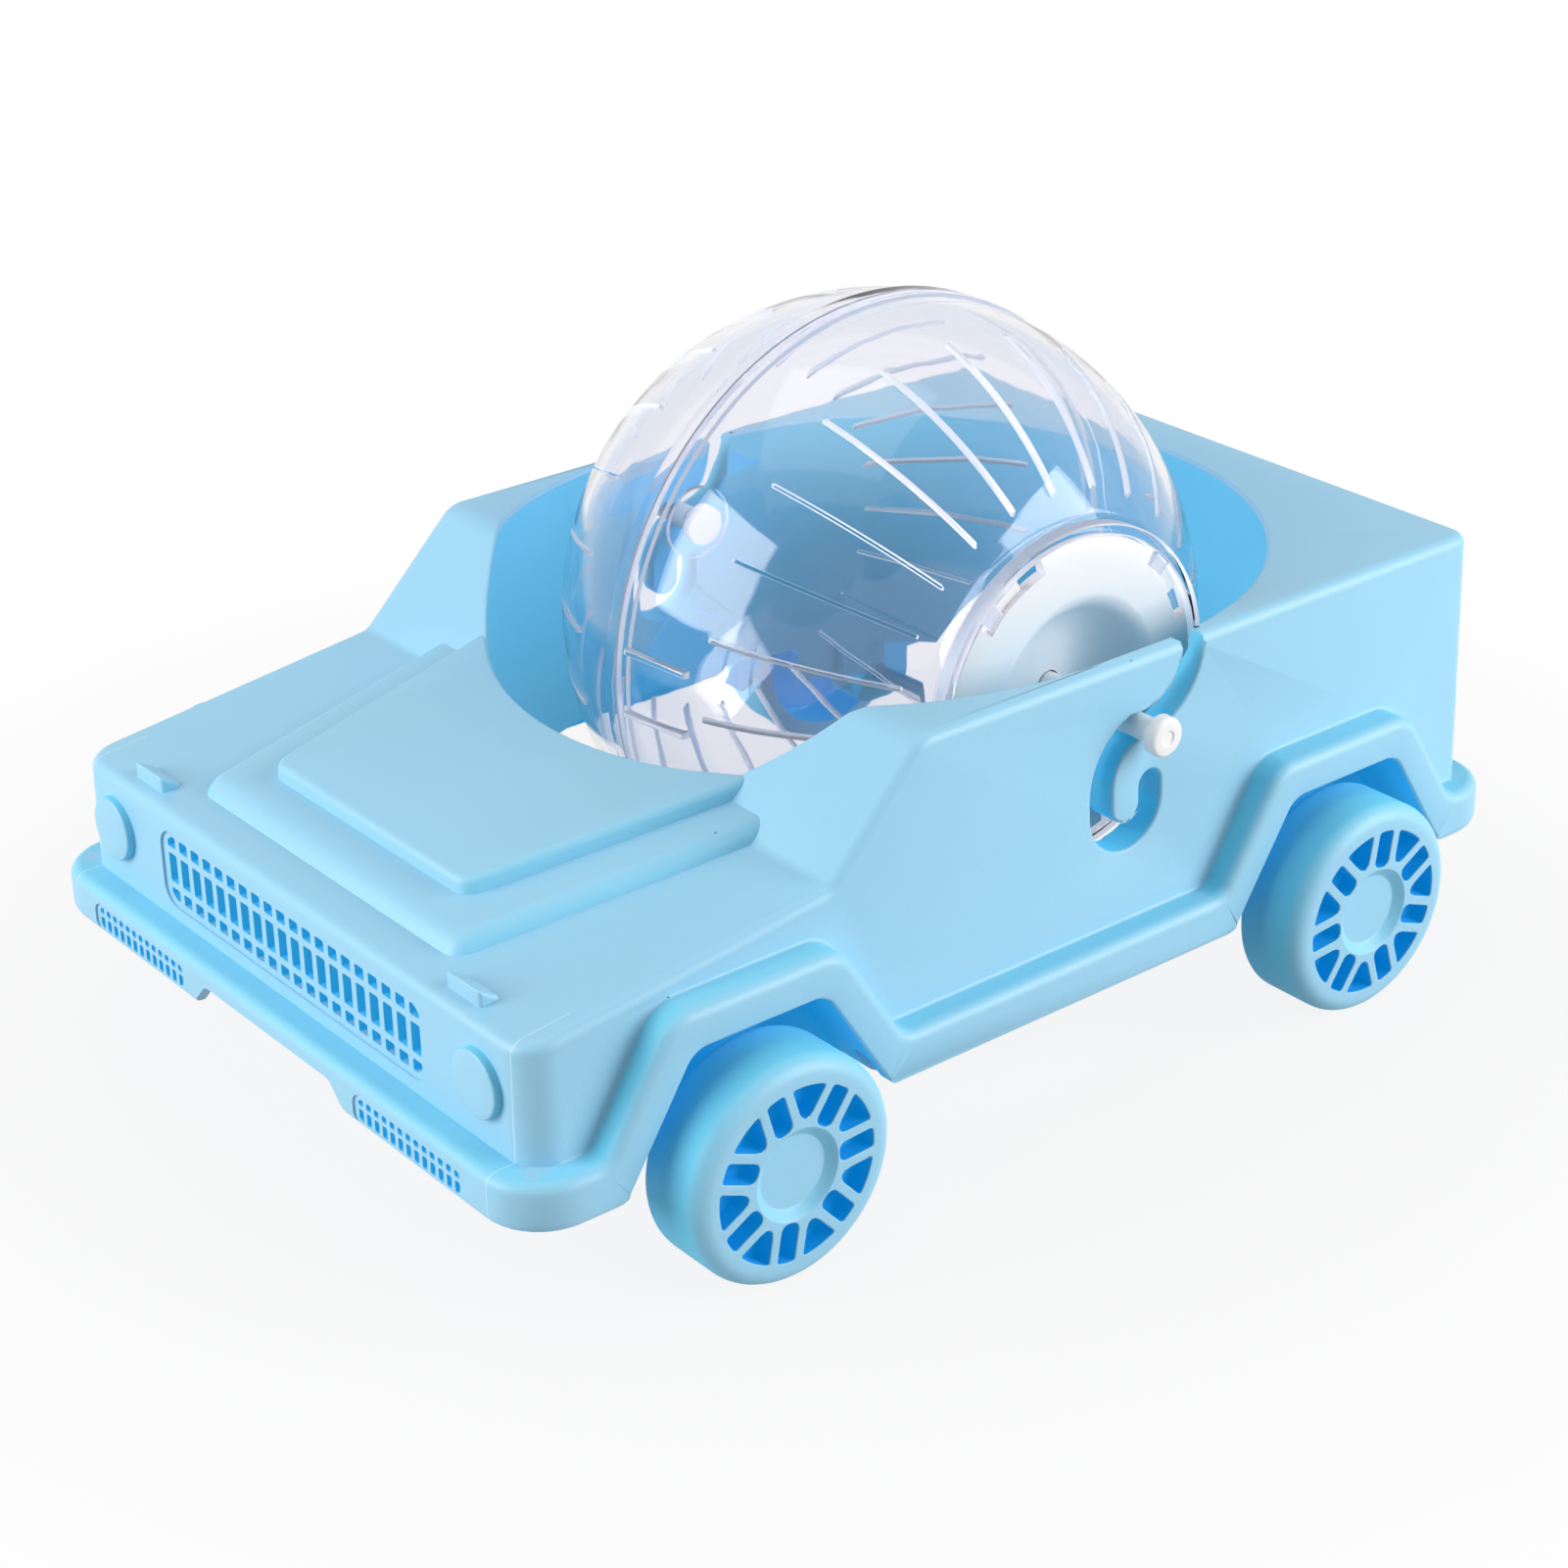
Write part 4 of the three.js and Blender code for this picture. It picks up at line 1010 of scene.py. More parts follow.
def wheel_windows():
    """Cutters for the ring of slots and, between them, wedges in the wheel's face."""
    windows = []
    pitch = 2 * math.pi / WINDOWS
    reach = WINDOW_SLOT / 2 + SPOKE
    tip = reach / math.sin(pitch / 2)
    span = math.degrees(pitch / 2 - math.asin(reach / WINDOW_OUTER))
    low, high = WHEEL_FACE - WINDOW_DEPTH, WHEEL_FACE + 1
    half = WINDOW_SLOT / 2
    rim = math.degrees(math.asin(half / WINDOW_OUTER))
    deep = runs(0)
    for i in range(WINDOWS):
        slot = prism("window", "side", [
            (WINDOW_INNER, -half, SLOT_END_RADIUS),
            *arc(0, 0, WINDOW_OUTER, -rim, rim, 4),
            (WINDOW_INNER, half, SLOT_END_RADIUS),
        ], low, high)
        wedge = prism("window", "side", [
            (tip, 0, WINDOW_TIP_RADIUS),
            *arc(0, 0, WINDOW_OUTER, -span, span, 8),
        ], low, high)
        for window, turn in ((slot, i * pitch), (wedge, (i + 0.5) * pitch)):
            round_edges(window, lambda edge: deep(edge) and edge.calc_face_angle(0) > math.radians(50),
                        WINDOW_EDGE, 3)
            windows.append(put(window, Matrix.Rotation(turn, 4, "X")))
    return joined(windows)


def wheel_painted_shade(spot, normal):
    """How deep a painted shade a face of the wheel gets, from where it lies in shade."""
    off_axle = math.hypot(spot.y, spot.z)
    turned_away = 1 - abs(normal.x)
    # Painted shade in the windows, on the hollow back, in the hub recess and on the tread
    if spot.x < WHEEL_FACE - 0.4 and WINDOW_INNER - 0.3 < off_axle < WINDOW_OUTER + 0.3:
        return PAINTED_SHADE_DEPTHS["window"]
    if spot.x < WHEEL_WEB + 0.1 and off_axle < TREAD_INNER + 0.1:
        return PAINTED_SHADE_DEPTHS["wheel_back"]
    if off_axle < HUB_RADIUS + HUB_LIP and spot.x > WHEEL_FACE - HUB_RECESS:
        return PAINTED_SHADE_DEPTHS["hub"] * turned_away
    return PAINTED_SHADE_DEPTHS["tread"] * turned_away if off_axle > WHEEL_RADIUS - SHOULDER else 0.0


def wheel():
    """One wheel at the origin, its slotted face towards +x."""
    face, back = WHEEL_FACE, WHEEL_FACE - WHEEL_WIDTH
    tube = AXLE_RADIUS + RUN_GAP + HUB_TUBE_WALL
    hole = AXLE_RADIUS + AXLE_FIT
    piece = lathe("wheel", [
        (0, face - HUB_RECESS),
        (HUB_RADIUS - 0.5, face - HUB_RECESS),
        (HUB_RADIUS, face - HUB_RECESS + 0.25),
        (HUB_RADIUS + 0.9, face - 0.35),
        (HUB_RADIUS + HUB_LIP, face),
        *arc(WHEEL_RADIUS - SHOULDER, face - SHOULDER, SHOULDER, 90, 0, 8),
        *arc(WHEEL_RADIUS - BACK_EDGE, back + BACK_EDGE, BACK_EDGE, 0, -90, 5),
        (TREAD_INNER, back),
        (TREAD_INNER, WHEEL_WEB),
        (tube, WHEEL_WEB),
        (tube, back + 1),
        (hole, back + 1),
        (hole, AXLE_END + AXLE_FIT),
        (0, AXLE_END + AXLE_FIT),
    ], 84)
    cut(piece, wheel_windows())
    split_faces(piece)
    round_edges(piece, lambda edge: between(
        edge, lambda side: side.normal.x > 0.98, lambda side: abs(side.normal.x) < 0.2)
        and middle(edge).x > mm(face) - NEAR, FACE_EDGE, 2, slide=False)
    # Painted shade: each face stores how deep in shade it lies, and the blue plastic paints its colour by
    # it
    mark_faces(piece, "recess", wheel_painted_shade)
    return piece


# Exercise ball

def sphere_arc(radius, from_x, to_x, steps):
    """(radius, x) points along a sphere between two places on its axis."""
    start, end = math.acos(from_x / radius), math.acos(to_x / radius)
    turns = [start + (end - start) * i / steps for i in range(steps + 1)]
    return [(radius * math.sin(a), radius * math.cos(a)) for a in turns]


def on_ball(piece, side, off_pole, around, radius):
    """Lays a piece on the ball: its x along the meridian, its y outward."""
    pole, turn = math.radians(off_pole), math.radians(around)
    round_y, round_z = math.cos(turn), math.sin(turn)
    out = Vector((side * math.cos(pole), math.sin(pole) * round_y, math.sin(pole) * round_z))
    along = Vector((-side * math.sin(pole), math.cos(pole) * round_y, math.cos(pole) * round_z))
    place = Matrix((along, out, along.cross(out))).transposed().to_4x4()
    place.translation = out * mm(radius)
    return put(piece, place)


def frost(spot, normal):
    """1 on the cut and moulded edges of the ball, 0 on its smooth inner and outer skin."""
    return 0.0 if abs(spot.normalized().dot(normal)) > 0.8 else 1.0


def vent_slits(side, width):
    """Ring of slits along the meridians of one half."""
    length = 2 * BALL_RADIUS * math.sin(math.radians(SLIT_END - SLIT_START) / 2)
    deep = BALL_WALL * 3
    slit = block("slit", (-length / 2, -deep, -width / 2), (length / 2, deep, width / 2))
    round_edges(slit, runs(1), width * 0.49, 4)
    around = [SLIT_PHASES[side] + i * 360 / SLITS for i in range(SLITS)]
    copies = [copy_of(slit, "slit") for _ in around]
    bpy.data.objects.remove(slit)
    for piece, angle in zip(copies, around):
        on_ball(piece, side, (SLIT_START + SLIT_END) / 2, angle, BALL_INNER)
    return joined(copies)


def left_half(settings):
    """Half of the ball with the door ring, its lugs and the latch bars."""
    seam = SEAM_X + SEAM_GAP / 2
    ledge = DOOR_BACK - RUN_GAP
    ledge_back = ledge - BALL_WALL
    ring_foot = math.sqrt(BALL_RADIUS ** 2 - RING_OUTER ** 2)
    piece = lathe("ball_left", [
        (RING_INNER, RING_TOP - RING_EDGE),
        (RING_INNER + RING_EDGE, RING_TOP),
        (RING_OUTER - RING_EDGE, RING_TOP),
        (RING_OUTER, RING_TOP - RING_EDGE),
        *sphere_arc(BALL_RADIUS, ring_foot, SEAM_X + COLLAR_WIDTH, 44),
        (COLLAR_RADIUS, SEAM_X + COLLAR_WIDTH - COLLAR_RISE),
        (COLLAR_RADIUS, seam + COLLAR_EDGE),
        (COLLAR_RADIUS - COLLAR_EDGE, seam),
        *sphere_arc(BALL_INNER, seam, ledge_back, 44),
        (DOOR_RADIUS - BALL_WALL, ledge_back),
        (DOOR_RADIUS - BALL_WALL, ledge),
        (RING_INNER, ledge),
    ], BALL_STEPS)
    cut(piece, vent_slits(1, settings.slit_width * 1000))
    corner = [size / 2 for size in LATCH_SIZE]
    for around in LATCH_ANGLES:
        bar = block("latch_bar", [-half for half in corner], corner)
        round_edges(bar, lambda edge: middle(edge).y > mm(corner[1]) - NEAR, LATCH_EDGE, 3)
        add(piece, on_ball(bar, 1, LATCH_OFF_POLE, around, BALL_RADIUS))
    base = POCKET_FLOOR + RUN_GAP
    for i in range(LUGS):
        centre = NOTCH_PHASE + TWIST + i * 360 / LUGS
        start, end = centre - LUG_ANGLE / 2, centre + LUG_ANGLE / 2
        outer = arc(0, 0, RING_INNER + RUN_GAP, start, end, 6)
        inner = arc(0, 0, RING_INNER - LUG_REACH, end, start, 6)
        lug = prism("lug", "side", outer + inner, base, base + LUG_THICK)
        round_edges(lug, lambda edge: middle(edge).x > mm(base + LUG_THICK) - NEAR, LUG_EDGE, 2)
        add(piece, lug)
    mark_faces(piece, "frost", frost)
    return put(piece, Matrix.Translation(BALL_CENTRE))


def right_half(settings):
    """Plain half of the ball with a peg hub at its pole."""
    seam = SEAM_X - SEAM_GAP / 2
    hub = PEG_HEAD_RADIUS * 2
    hub_back = BALL_INNER - BALL_WALL
    bore_rim = math.sqrt(BALL_RADIUS ** 2 - PEG_BORE ** 2)
    piece = lathe("ball_right", [
        (COLLAR_RADIUS - COLLAR_EDGE, seam),
        (COLLAR_RADIUS, seam - COLLAR_EDGE),
        (COLLAR_RADIUS, SEAM_X - COLLAR_WIDTH + COLLAR_RISE),
        *sphere_arc(BALL_RADIUS, SEAM_X - COLLAR_WIDTH, -bore_rim, 56),
        (PEG_BORE, -hub_back),
        (hub, -hub_back),
        *sphere_arc(BALL_INNER, -math.sqrt(BALL_INNER ** 2 - hub ** 2), seam, 56),
    ], BALL_STEPS)
    cut(piece, vent_slits(-1, settings.slit_width * 1000))
    mark_faces(piece, "frost", frost)
    return put(piece, Matrix.Translation(BALL_CENTRE))


def door():
    """White bayonet door: flat rim, dished centre, entry notches and lock pockets."""
    depth = DOOR_FACE - DISH_FLOOR
    back = DISH_FLOOR - DOOR_THICK
    piece = lathe("door", [
        (PEG_BORE, DISH_FLOOR),
        *[(DISH_RADIUS * u, DISH_FLOOR + depth * v) for u, v in DISH_CURVE],
        (CROWN_RADIUS - 0.35, DOOR_FACE + 0.8),
        (CROWN_RADIUS + 0.35, DOOR_FACE + 0.85),
        (DOOR_RADIUS - 4.5, DOOR_FACE + 0.35),
        (DOOR_RADIUS - 0.9, DOOR_FACE),
        (DOOR_RADIUS - 0.25, DOOR_FACE - 0.25),
        (DOOR_RADIUS, DOOR_FACE - 0.9),
        (DOOR_RADIUS, DOOR_BACK + 0.3),
        (DOOR_RADIUS - 0.3, DOOR_BACK),
        (CROWN_RADIUS, DOOR_BACK),
        *[(DISH_RADIUS * u, back + depth * v) for u, v in UNDER_CURVE],
        (PEG_BORE, back),
    ], 128)
    half = LUG_ANGLE / 2 + LUG_CLEARANCE
    inside = RING_INNER - LUG_REACH - RUN_GAP * 2

    def sector(start, end, low, high):
        """Cutter for a notch or pocket in the rim between two angles."""
        outer = arc(0, 0, DOOR_RADIUS + 1, start, end, 8)
        inner = arc(0, 0, inside, end, start, 8)
        return prism("pocket", "side", outer + inner, low, high)

    for i in range(LUGS):
        start = NOTCH_PHASE + i * 360 / LUGS
        cut(piece, sector(start - half, start + half, DOOR_BACK - 1, DOOR_FACE + 2))
        cut(piece, sector(start - half, start + TWIST + half, POCKET_FLOOR, DOOR_FACE + 2))
    near, far = (DISH_RADIUS * share for share in DISH_SLIT)
    start, end = DISH_SLIT_ANGLES
    slit = arc(0, 0, far, start, end, 14) + arc(0, 0, near, end, start, 14)
    cut(piece, prism("dish_slit", "side", slit, DISH_FLOOR - 6, DOOR_FACE + 2))
    return put(piece, Matrix.Translation(BALL_CENTRE))


def peg(node):
    """White peg: flange inside the ball, shaft through the slot, round head outside."""
    low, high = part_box(node)
    side = 1 if low.x > 0 else -1
    flange, head_end = sorted((abs(low.x) * 1000, abs(high.x) * 1000))
    head_base = head_end - PEG_HEAD
    profile = [
        (0, flange),
        (PEG_FLANGE_RADIUS, flange),
        (PEG_FLANGE_RADIUS, flange + BALL_WALL),
        (PEG_RADIUS, flange + BALL_WALL),
        (PEG_RADIUS, head_base),
        (PEG_HEAD_RADIUS - 0.3, head_base),
        (PEG_HEAD_RADIUS, head_base + 0.3),
        *arc(PEG_HEAD_RADIUS - PEG_HEAD_EDGE, head_end - PEG_HEAD_EDGE, PEG_HEAD_EDGE, 0, 90, 5),
        (1.5, head_end),
        (1.2, head_end - 0.25),
        (0, head_end - 0.3),
    ]
    piece = lathe(node.replace("peg", "round_peg"), [(r, side * x) for r, x in profile], 48)
    return put(piece, Matrix.Translation(BALL_CENTRE))


# Finishes

class Shade:
    """A node socket of a material; arithmetic on it adds Math nodes."""

    def __init__(self, tree, socket=None):
        """Wraps a socket of a node tree, or the tree alone to start from."""
        self.tree = tree
        self.socket = socket

    def node(self, kind, settings=None, inputs=None, output=0):
        """Adds a node, sets it up, fills or links its sockets and returns one of its outputs."""
        made = self.tree.nodes.new(kind)
        for name, value in (settings or {}).items():
            setattr(made, name, value)
        for name, value in (inputs or {}).items():
            if isinstance(value, Shade):
                self.tree.links.new(value.socket, made.inputs[name])
            else:
                made.inputs[name].default_value = value
        return Shade(self.tree, made.outputs[output])

    def math(self, operation, first, second=0.0):
        """Adds a Math node for two sockets or numbers."""
        return self.node("ShaderNodeMath", {"operation": operation}, {0: first, 1: second})

    def mix(self, share, first, second):
        """Colour between two others."""
        return self.node("ShaderNodeMix", {"data_type": "RGBA"}, {0: share, 6: first, 7: second}, 2)

    def __add__(self, other):
        """Sum with a socket or number."""
        return self.math("ADD", self, other)

    def __radd__(self, other):
        """Sum of a number and this."""
        return self.math("ADD", other, self)

    def __sub__(self, other):
        """Difference from a socket or number."""
        return self.math("SUBTRACT", self, other)

    def __rsub__(self, other):
        """A number less this."""
        return self.math("SUBTRACT", other, self)

    def __mul__(self, other):
        """Product with a socket or number."""
        return self.math("MULTIPLY", self, other)

    def __rmul__(self, other):
        """Product of a number and this."""
        return self.math("MULTIPLY", other, self)

    def __lt__(self, other):
        """1 where this is less."""
        return self.math("LESS_THAN", self, other)

    def __gt__(self, other):
        """1 where this is greater."""
        return self.math("GREATER_THAN", self, other)


def new_finish(name):
    """Empty node material and a Shade to build its nodes with."""
    material = bpy.data.materials.new(name)
    material.use_nodes = True
    material.node_tree.nodes.clear()
    return material, Shade(material.node_tree)


def output(shade, surface, kind="Material"):
    """Sends a shader to the surface of a material or world."""
    end = shade.tree.nodes.new(f"ShaderNodeOutput{kind}")
    shade.tree.links.new(surface.socket, end.inputs["Surface"])


def opaque(colour):
    """A colour with full alpha, as sockets take it."""
    return [*colour, 1.0]


def moulded_plastic(name, colour, painted_shade_colour, painted_deep_shade_colour, roughness, speck=0.0, painted_glow_strength=0.0):
    """Satin moulded plastic: fine skin, faint clouding, sparse dark specks, and painted shade (deeper blue
    and a painted glow) on faces that lie in shade.
    """
    material, shade = new_finish(name)
    place = shade.node("ShaderNodeTexCoord", output="Object")
    clouds = shade.node("ShaderNodeTexNoise", inputs={"Vector": place, "Scale": 28.0, "Detail": 3.0})
    grain = shade.node("ShaderNodeTexNoise", inputs={"Vector": place, "Scale": 2400.0, "Detail": 2.0})
    cells = {"Vector": place, "Scale": 130.0, "Randomness": 1.0}
    near = shade.node("ShaderNodeTexVoronoi", inputs=cells, output="Distance")
    draws = shade.node("ShaderNodeTexVoronoi", inputs=cells, output="Color")
    chance = shade.node("ShaderNodeSeparateColor", inputs={"Color": draws}, output="Red")
    specks = (near < speck) * (chance > SPECK_CHANCE)
    base = shade.mix(clouds, opaque(channel * CLOUD_SHADE for channel in colour), opaque(colour))
    # Painted shade: how deep in shade each face lies, stored on it when the pieces were modelled
    recess = shade.node("ShaderNodeAttribute", {"attribute_name": "recess"}, output="Fac")
    # Painted shade: the colour turns to a deeper blue, then to a deep dark blue, the deeper a face lies in
    # shade
    well = shade.mix(recess * 2.0, base, opaque(painted_shade_colour))
    pocket = shade.mix(recess * 2.0 - 1.0, well, opaque(painted_deep_shade_colour))
    across = shade.node("ShaderNodeSeparateXYZ", inputs={"Vector": place}, output="X")
    along = shade.node("ShaderNodeSeparateXYZ", inputs={"Vector": place}, output="Y")
    off_line = shade.math("ABSOLUTE", shade.math("ABSOLUTE", across) - mm(MOULD_LINE_X))
    mould_line = (off_line < mm(MOULD_LINE_HALF)) * (along < mm(MOULD_LINE_END))
    lined = shade.mix(mould_line * 0.5, pocket, MOULD_LINE_COLOUR)
    skin = shade.node("ShaderNodeBump", inputs={"Strength": 0.12, "Distance": 0.0002, "Height": grain})
    # Painted glow: faces lying deeper in shade than halfway glow blue
    painted_glow = shade.node("ShaderNodeMath", {"operation": "MULTIPLY", "use_clamp": True},
                      {0: recess - 0.5, 1: 5.0})
    surface = shade.node("ShaderNodeBsdfPrincipled", inputs={
        "Base Color": shade.mix(specks * 0.55, lined, SPECK_COLOUR),
        "Emission Color": shade.mix(painted_glow, BLACK, PAINTED_GLOW_COLOUR),
        "Emission Strength": painted_glow_strength,
        "Roughness": roughness - 0.04 + clouds * 0.08 + recess * 0.4,
        "IOR": 1.48,
        "Normal": skin,
    })
    output(shade, surface)
    return material


def clear_plastic(name, tint, roughness):
    """Clear moulded polystyrene with a faint ripple."""
    material, shade = new_finish(name)
    place = shade.node("ShaderNodeTexCoord", output="Object")
    ripple = shade.node("ShaderNodeTexNoise", inputs={"Vector": place, "Scale": 55.0, "Detail": 2.0})
    skin = shade.node("ShaderNodeBump", inputs={"Strength": 0.1, "Distance": 0.001, "Height": ripple})
    surface = shade.node("ShaderNodeBsdfPrincipled", inputs={
        "Base Color": opaque(tint),
        "Roughness": roughness + ripple * 0.02,
        "IOR": 1.4,
        "Transmission Weight": 1.0,
        "Normal": skin,
    })
    edges = shade.node("ShaderNodeAttribute", {"attribute_name": "frost"}, output="Fac")
    milky = shade.node("ShaderNodeBsdfTranslucent", inputs={"Color": MILKY})
    shell = shade.node("ShaderNodeMixShader", inputs={0: edges * 0.7, 1: surface, 2: milky})
    shadow = shade.node("ShaderNodeLightPath", output="Is Shadow Ray")
    bounced = shade.node("ShaderNodeLightPath", output="Is Diffuse Ray")
    through = shade.node("ShaderNodeBsdfTransparent", inputs={"Color": opaque(tint)})
    output(shade, shade.node("ShaderNodeMixShader", inputs={
        0: shade.math("MAXIMUM", shadow, bounced), 1: shell, 2: through}))
    return material


def drawn_steel(name):
    """Drawn steel rod with fine lines round it."""
    material, shade = new_finish(name)
    place = shade.node("ShaderNodeTexCoord", output="Object")
    lines = shade.node("ShaderNodeMapping", inputs={"Vector": place, "Scale": (2500.0, 60.0, 60.0)})
    wear = shade.node("ShaderNodeTexNoise", inputs={"Vector": lines, "Scale": 1.0, "Detail": 4.0})
    skin = shade.node("ShaderNodeBump", inputs={"Strength": 0.2, "Distance": 0.0001, "Height": wear})
    surface = shade.node("ShaderNodeBsdfPrincipled", inputs={
        "Base Color": STEEL,
        "Metallic": 1.0,
        "Roughness": 0.22 + wear * 0.18,
        "Normal": skin,
    })
    output(shade, surface)
    return material


# Settings

class CarBodySettings(bpy.types.PropertyGroup):
    """Rounding of the moulded car."""

    top_edge: FloatProperty(
        name="Top edge", description="Rounding along hood, windshield and deck",
        default=mm(2.0), unit="LENGTH")
    front_corner: FloatProperty(
        name="Front corners", description="Rounding of the upright front corners",
        default=mm(6.5), unit="LENGTH")
    rear_corner: FloatProperty(
        name="Rear corners", description="Rounding of the upright rear corners",
        default=mm(4.0), unit="LENGTH")
    band_edge: FloatProperty(
        name="Band edge", description="Rounding of bumper, sill and arch trim",
        default=mm(2.2), unit="LENGTH")
    rim_edge: FloatProperty(
        name="Well rim", description="Rounding of the rim of the ball well",
        default=mm(0.8), unit="LENGTH")
    cut_edge: FloatProperty(
        name="Cut edges", description="Rounding round slots and wheel openings",
        default=mm(0.6), unit="LENGTH")


class BallSettings(bpy.types.PropertyGroup):
    """Sizes of the exercise ball."""

    slit_width: FloatProperty(
        name="Slit width", description="Width of the air slits", default=mm(0.7), unit="LENGTH")


class FinishSettings(bpy.types.PropertyGroup):
    """Colours of the plastics."""

    car_colour: FloatVectorProperty(
        name="Car", description="Sky-blue plastic of car and wheels",
        subtype="COLOR", default=(0.325, 0.64, 0.84))
    # Painted shade: the deeper blue painted on faces in half shade, such as the well's walls
    painted_shade_colour: FloatVectorProperty(
        name="Well", description="Blue on the walls of the ball well",
        subtype="COLOR", default=(0.17, 0.67, 0.90))
    # Painted shade: the deep dark blue painted on faces deepest in shade, such as the wheels' windows
    painted_deep_shade_colour: FloatVectorProperty(
        name="Pockets", description="Deep blue inside small recesses",
        subtype="COLOR", default=(0.0, 0.2, 0.61))
    door_colour: FloatVectorProperty(
        name="Door", description="White plastic of door and pegs",
        subtype="COLOR", default=(0.90, 0.90, 0.91))
    ball_tint: FloatVectorProperty(
        name="Ball", description="Tint of the clear ball",
        subtype="COLOR", default=(0.93, 0.93, 0.97))
    car_gloss: FloatProperty(
        name="Car roughness", description="Roughness of the blue plastic", default=0.42, subtype="FACTOR")


class StageSettings(bpy.types.PropertyGroup):
    """Lamps and camera."""

    lens: FloatProperty(name="Lens", description="Focal length in millimetres", default=76.86)
    side_power: FloatProperty(
        name="Side", description="Power of the lamp on the car's left", default=16.5, unit="POWER")
    front_power: FloatProperty(
        name="Front", description="Power of the lamp ahead of the car", default=12.8, unit="POWER")
    top_power: FloatProperty(
        name="Top", description="Power of the lamp above the car", default=2.4, unit="POWER")
    sky: FloatProperty(name="Sky", description="Strength of the even light from all round", default=0.17)


class BallCarSettings(bpy.types.PropertyGroup):
    """All settings of the ball car."""

    body: PointerProperty(type=CarBodySettings, name="Body", description="Moulded car")
    ball: PointerProperty(type=BallSettings, name="Ball", description="Exercise ball")
    finish: PointerProperty(type=FinishSettings, name="Finish", description="Plastics")
    stage: PointerProperty(type=StageSettings, name="Stage", description="Lamps and camera")


def finish_named(name, make):
    """A finish by name, made the first time it is asked for."""
    return bpy.data.materials.get(name) or make(name)


def blue_plastic(settings):
    """Plastic of car and wheels."""
    look = settings.finish
    # Its shade colours and painted glow paint shade into faces marked as lying in shade
    return finish_named("Sky blue plastic", lambda name: moulded_plastic(
        name, look.car_colour, look.painted_shade_colour, look.painted_deep_shade_colour, look.car_gloss,
        SPECK_SIZE, PAINTED_GLOW_STRENGTH))


def white_plastic(settings):
    """Plastic of door and pegs."""
    colour = settings.finish.door_colour
    return finish_named("White plastic", lambda name: moulded_plastic(
        name, colour, colour, colour, DOOR_ROUGHNESS))


def ball_plastic(settings):
    """Clear plastic of the ball."""
    return finish_named("Clear plastic", lambda name: clear_plastic(
        name, settings.finish.ball_tint, BALL_ROUGHNESS))


# Operators

class BALLCAR_OT_body(bpy.types.Operator):
    """Model the moulded car body"""

    bl_idname = "ballcar.body"
    bl_label = "Car Body"

    def execute(self, context):
        """Models and finishes the car body."""
        settings = context.scene.ball_car
        finish_piece(car_body(settings.body), "car", "car_body", blue_plastic(settings))
        return {"FINISHED"}


class BALLCAR_OT_wheels(bpy.types.Operator):
    """Model the four wheels"""

    bl_idname = "ballcar.wheels"
    bl_label = "Wheels"

    def execute(self, context):
        """Models one wheel and copies it to both axles."""
        settings = context.scene.ball_car
        first = wheel()
        for row, axle_y in (("front", FRONT_AXLE_Y), ("rear", REAR_AXLE_Y)):
            phase = WHEEL_PHASES[row]
            for side, half_turn, spin in (("left", 0, phase), ("right", 180, 180 - phase)):
                piece = copy_of(first, f"slotted_wheel_{row}_{side}")
                facing = Matrix.Rotation(math.radians(half_turn), 4, "Z")
                turn = facing @ Matrix.Rotation(math.radians(spin), 4, "X")
                put(piece, Matrix.Translation(mm(0, axle_y, WHEEL_RADIUS)) @ turn)
                finish_piece(piece, f"{row}_axle_set", f"wheel_{row}_{side}",
                             blue_plastic(settings), 20)
        bpy.data.objects.remove(first)
        return {"FINISHED"}


class BALLCAR_OT_axles(bpy.types.Operator):
    """Give the axles their steel"""

    bl_idname = "ballcar.axles"
    bl_label = "Axles"

    def execute(self, context):
        """Finishes the axles, which stay the CAD's own."""
        steel = finish_named("Drawn steel", drawn_steel)
        for name in ("front_axle", "rear_axle"):
            rod = frame["nodes"][name]
            rod.data.materials.clear()
            rod.data.materials.append(steel)
            take(rod)
            bpy.ops.object.shade_smooth_by_angle(angle=math.radians(40))
        return {"FINISHED"}


class BALLCAR_OT_ball(bpy.types.Operator):
    """Model the two clear halves of the ball"""

    bl_idname = "ballcar.ball"
    bl_label = "Exercise Ball"

    def execute(self, context):
        """Models and finishes both halves."""
        settings = context.scene.ball_car
        for make, node in ((left_half, "ball_half_left"), (right_half, "ball_half_right")):
            finish_piece(make(settings.ball), "ball", node, ball_plastic(settings))
        return {"FINISHED"}


class BALLCAR_OT_door(bpy.types.Operator):
    """Model the white twist-lock door"""

    bl_idname = "ballcar.door"
    bl_label = "Door"

    def execute(self, context):
        """Models and finishes the door."""
        settings = context.scene.ball_car
        finish_piece(door(), "door", "ball_door", white_plastic(settings))
        return {"FINISHED"}


class BALLCAR_OT_pegs(bpy.types.Operator):
    """Model the two pegs that the ball turns on"""

    bl_idname = "ballcar.pegs"
    bl_label = "Pegs"

    def execute(self, context):
        """Models and finishes both pegs."""
        settings = context.scene.ball_car
        for node in ("peg_left", "peg_right"):
            finish_piece(peg(node), "pegs", node, white_plastic(settings))
        return {"FINISHED"}


def soft_lamp(name, place, aim, size, power):
    """Square area lamp that looks at a point."""
    lamp = bpy.data.lights.new(name, "AREA")
    lamp.shape = "SQUARE"
    lamp.size = size
    lamp.energy = power
    holder = bpy.data.objects.new(name, lamp)
    holder.location = place
    holder.rotation_euler = (Vector(aim) - Vector(place)).to_track_quat("-Z", "Y").to_euler()
    bpy.context.scene.collection.objects.link(holder)


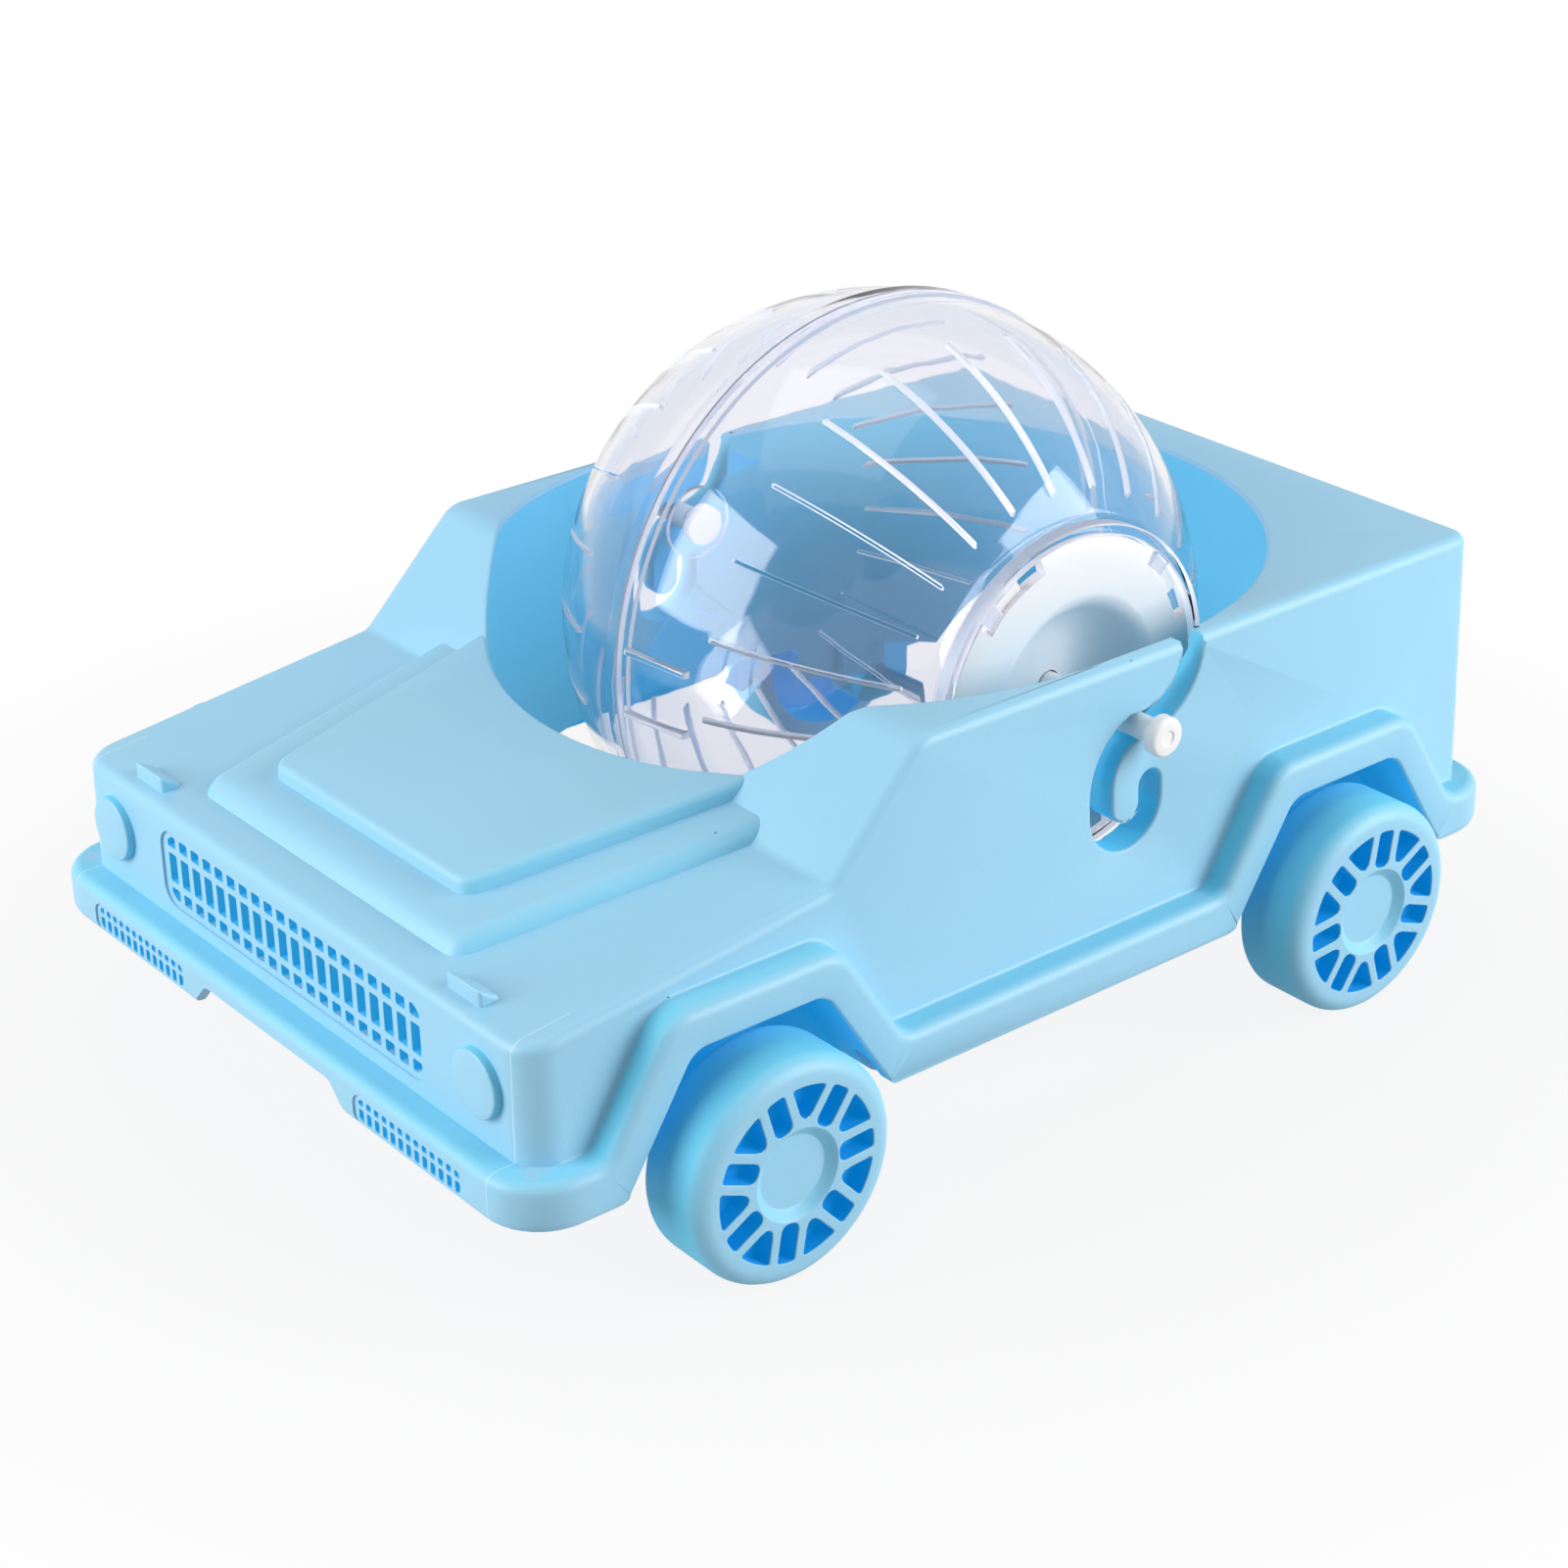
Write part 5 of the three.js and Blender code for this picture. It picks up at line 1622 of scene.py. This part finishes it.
def white_sky(strength):
    """Even light all round; white where it is seen."""
    world = bpy.data.worlds.new("Studio")
    bpy.context.scene.world = world
    world.use_nodes = True
    world.node_tree.nodes.clear()
    shade = Shade(world.node_tree)
    light = shade.node("ShaderNodeBackground", inputs={"Color": WHITE, "Strength": strength})
    white = shade.node("ShaderNodeBackground", inputs={"Color": WHITE, "Strength": 1.0})
    both = shade.node("ShaderNodeMixShader", inputs={0: seen_rays(shade), 1: light, 2: white})
    output(shade, both, "World")


def seen_rays(shade):
    """1 for rays of the camera, of reflections and through clear plastic."""
    camera = shade.node("ShaderNodeLightPath", output="Is Camera Ray")
    glossy = shade.node("ShaderNodeLightPath", output="Is Glossy Ray")
    through = shade.node("ShaderNodeLightPath", output="Is Transmission Ray")
    return shade.math("MAXIMUM", shade.math("MAXIMUM", camera, glossy), through)


def studio_floor():
    """Pale floor that fades to white away from the car and keeps its shadow."""
    take()
    bpy.ops.mesh.primitive_plane_add(size=FLOOR_SIZE)
    floor = bpy.context.object
    floor.name = "studio_floor"
    material, shade = new_finish("Pale floor")
    place = shade.node("ShaderNodeTexCoord", output="Object")
    reach = shade.node("ShaderNodeVectorMath", {"operation": "LENGTH"}, {0: place}, "Value")
    fade = shade.node("ShaderNodeMapRange", {"interpolation_type": "SMOOTHSTEP"},
                      {"Value": reach, **FLOOR_FADE})
    paper = shade.node("ShaderNodeBsdfPrincipled", inputs={
        "Base Color": PAPER, "Roughness": 0.9, "Specular IOR Level": 0.1})
    white = shade.node("ShaderNodeEmission", inputs={"Color": WHITE, "Strength": 1.0})
    output(shade, shade.node("ShaderNodeMixShader", inputs={
        0: seen_rays(shade) * fade, 1: paper, 2: white}))
    floor.data.materials.append(material)


def photo_camera(lens):
    """Camera at the photograph's angle."""
    azimuth, elevation, roll = (math.radians(angle) for angle in CAMERA_ANGLES)
    level = math.cos(elevation)
    back = Vector((math.sin(azimuth) * level, -math.cos(azimuth) * level, math.sin(elevation)))
    right = Vector((math.cos(azimuth), math.sin(azimuth), 0.0))
    up = back.cross(right)
    data = bpy.data.cameras.new("Camera")
    data.lens = lens
    data.sensor_width = SENSOR_WIDTH
    data.clip_start, data.clip_end = 0.01, 20.0
    camera = bpy.data.objects.new("Camera", data)
    rolled = right * math.cos(roll) + up * math.sin(roll)
    turn = Matrix((rolled, back.cross(rolled), back)).transposed().to_4x4()
    turn.translation = mm(*CAMERA_TARGET) + back * mm(CAMERA_DISTANCE)
    camera.matrix_world = turn
    bpy.context.scene.collection.objects.link(camera)
    bpy.context.scene.camera = camera


class BALLCAR_OT_stage(bpy.types.Operator):
    """Set up floor, soft lamps, white surround and camera"""

    bl_idname = "ballcar.stage"
    bl_label = "Stage"

    def execute(self, context):
        """Builds floor, light and camera."""
        stage = context.scene.ball_car.stage
        context.scene.view_settings.view_transform = "Standard"
        studio_floor()
        white_sky(stage.sky)
        for name, setting, place, size in LAMPS:
            soft_lamp(name, place, mm(*LAMP_AIM), size, getattr(stage, setting))
        photo_camera(stage.lens)
        return {"FINISHED"}


class BALLCAR_PT_pieces(bpy.types.Panel):
    """Pieces of the ball car in the sidebar"""

    bl_idname = "BALLCAR_PT_pieces"
    bl_label = "Ball Car"
    bl_space_type = "VIEW_3D"
    bl_region_type = "UI"
    bl_category = "Ball Car"

    def draw(self, context):
        """Lists the operators as buttons."""
        for operator in OPERATORS:
            self.layout.operator(operator.bl_idname)


SETTINGS = (CarBodySettings, BallSettings, FinishSettings, StageSettings, BallCarSettings)
OPERATORS = (BALLCAR_OT_body, BALLCAR_OT_wheels, BALLCAR_OT_axles, BALLCAR_OT_ball, BALLCAR_OT_door,
             BALLCAR_OT_pegs, BALLCAR_OT_stage)
CLASSES = (*SETTINGS, *OPERATORS, BALLCAR_PT_pieces)


def register():
    """Registers all classes and hangs the settings on the scene."""
    for made in CLASSES:
        bpy.utils.register_class(made)
    bpy.types.Scene.ball_car = PointerProperty(
        type=BallCarSettings, name="Ball car", description="Settings of the ball car")


def unregister():
    """Takes the settings and all classes away again."""
    del bpy.types.Scene.ball_car
    for made in reversed(CLASSES):
        bpy.utils.unregister_class(made)


def main():
    """Builds the whole scene."""
    register()
    bpy.ops.ballcar.body()
    bpy.ops.ballcar.wheels()
    bpy.ops.ballcar.axles()
    bpy.ops.ballcar.ball()
    bpy.ops.ballcar.door()
    bpy.ops.ballcar.pegs()
    bpy.ops.ballcar.stage()


if __name__ == "__main__":
    main()
